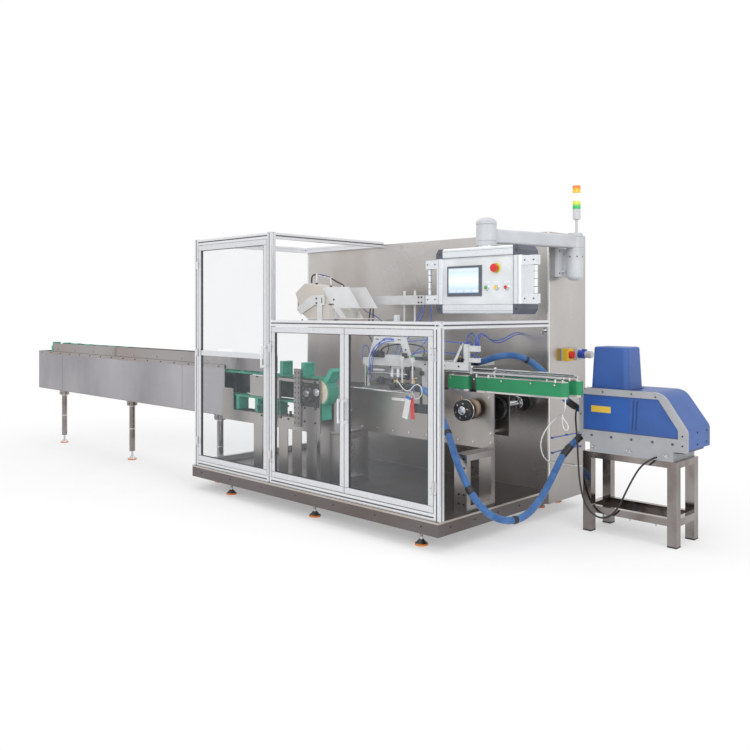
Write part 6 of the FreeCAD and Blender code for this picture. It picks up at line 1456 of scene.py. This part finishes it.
# Melter stand: mirror-polished square tube with rubber pads, small studs under its shelf, and
# fine weld beads at the corners.
coat("melter_stand", brushed("polished stand tube", (0.27, 0.245, 0.235), 0.12, (5, 5, 0.5), 5.0, 0.35))
stand_low, stand_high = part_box("melter_stand")
pads = bmesh.new()
LEG = 0.060
for x in (stand_low[0], stand_high[0] - LEG):
    for y in (stand_low[1], stand_high[1] - LEG):
        block(pads, (x - 0.001, x + LEG + 0.001), (y - 0.001, y + LEG + 0.001), (0.0, 0.010))
piece("stand_pads", pads, black_rubber, bevel=0.0015)
studs = bmesh.new()
for x in (0.700, 0.875, 1.050):
    turned(studs, (x, stand_low[1] + 0.030, 0.1325), (0, 0, -1),
           [(0, 0.0095), (0.008, 0.0095), (0.009, 0.0060), (0.020, 0.0058), (0.021, 0)], 6)
piece("shelf_studs", studs, bright_steel, bevel=0.0005)
welds = bmesh.new()
for x in (stand_low[0] + LEG, stand_high[0] - LEG):
    for z in (0.494, 0.178, 0.132):
        bar(welds, (x, stand_low[1] - 0.0002, z), (x, stand_low[1] + 0.058, z), 0.0022, 0.0006, 10)
piece("stand_welds", welds, machined)


# Studio: a pale floor that the machine stands on, white further off, under soft light from
# large lamps.
floor_mesh = bpy.data.meshes.new("studio_floor")
floor_mesh.from_pydata([(-60, -60, 0), (60, -60, 0), (60, 60, 0), (-60, 60, 0)], [], [(0, 1, 2, 3)])
studio_floor = bpy.data.objects.new("studio_floor", floor_mesh)
floor_paint, tree, shader = paint("pale floor", (0.95, 0.95, 0.95), 0.9)
paper = wire(tree, "ShaderNodeTexNoise", Vector=stretched(tree, (1, 1, 1)), Scale=2.0, Detail=2.0)
tree.links.new(spread(tree, paper.outputs["Fac"], [(0.3, (0.94, 0.94, 0.94)), (0.7, (0.96, 0.96, 0.96))]),
               shader.inputs["Base Color"])
shader.inputs["Specular IOR Level"].default_value = 0.0
where = wire(tree, "ShaderNodeTexCoord").outputs["Object"]
centred = wire(tree, "ShaderNodeVectorMath", {"operation": "SUBTRACT"}, i0=where, i1=(-2.0, 0.6, 0.0))
drawn_in = wire(tree, "ShaderNodeVectorMath", {"operation": "MULTIPLY"}, i0=centred.outputs["Vector"],
                i1=(0.55, 1.0, 1.0))
distance = wire(tree, "ShaderNodeVectorMath", {"operation": "LENGTH"}, i0=drawn_in.outputs["Vector"])
whiter = wire(tree, "ShaderNodeMapRange", {"interpolation_type": "SMOOTHSTEP"}, Value=distance.outputs["Value"],
              From_Min=1.2, From_Max=3.2, To_Min=0.35, To_Max=1.0)
white = wire(tree, "ShaderNodeEmission", Color=(1, 1, 1, 1), Strength=1.0)
blended = wire(tree, "ShaderNodeMixShader", i0=whiter.outputs["Result"], i1=shader.outputs["BSDF"],
               i2=white.outputs["Emission"])
tree.links.new(blended.outputs["Shader"], tree.nodes["Material Output"].inputs["Surface"])
floor_mesh.materials.append(floor_paint)
scene.collection.objects.link(studio_floor)

world = bpy.data.worlds.new("studio")
world.use_nodes = True
scene.world = world
tree = world.node_tree
tree.nodes.clear()
rays = wire(tree, "ShaderNodeLightPath").outputs
seen = wire(tree, "ShaderNodeMath", {"operation": "MAXIMUM"}, i0=rays["Is Camera Ray"], i1=rays["Is Glossy Ray"])
seen = wire(tree, "ShaderNodeMath", {"operation": "MAXIMUM"}, i0=seen.outputs["Value"], i1=rays["Is Transmission Ray"])
glow = wire(tree, "ShaderNodeBackground", Color=(1, 1, 1, 1), Strength=0.75)
backdrop = wire(tree, "ShaderNodeBackground", Color=(1, 1, 1, 1), Strength=1.0)
joined = wire(tree, "ShaderNodeMixShader", i0=seen.outputs["Value"], i1=glow.outputs["Background"],
              i2=backdrop.outputs["Background"])
wire(tree, "ShaderNodeOutputWorld", Surface=joined.outputs["Shader"])


def lamp(name, place, aim, size, power):
    data = bpy.data.lights.new(name, "AREA")
    data.shape = "RECTANGLE"
    data.size, data.size_y = size
    data.energy = power
    obj = bpy.data.objects.new(name, data)
    obj.location = place
    obj.rotation_euler = (Vector(aim) - Vector(place)).to_track_quat("-Z", "Y").to_euler()
    scene.collection.objects.link(obj)


lamp("key", (1.5, -6.0, 4.5), (-1.0, 0.5, 0.9), (5, 3), 160)
lamp("fill", (6.0, -1.0, 3.5), (0.0, 0.8, 0.9), (4, 3), 90)
lamp("top", (-2.0, 0.5, 6.0), (-2.0, 0.5, 0.0), (7, 3), 90)
scene.view_settings.view_transform = "Standard"
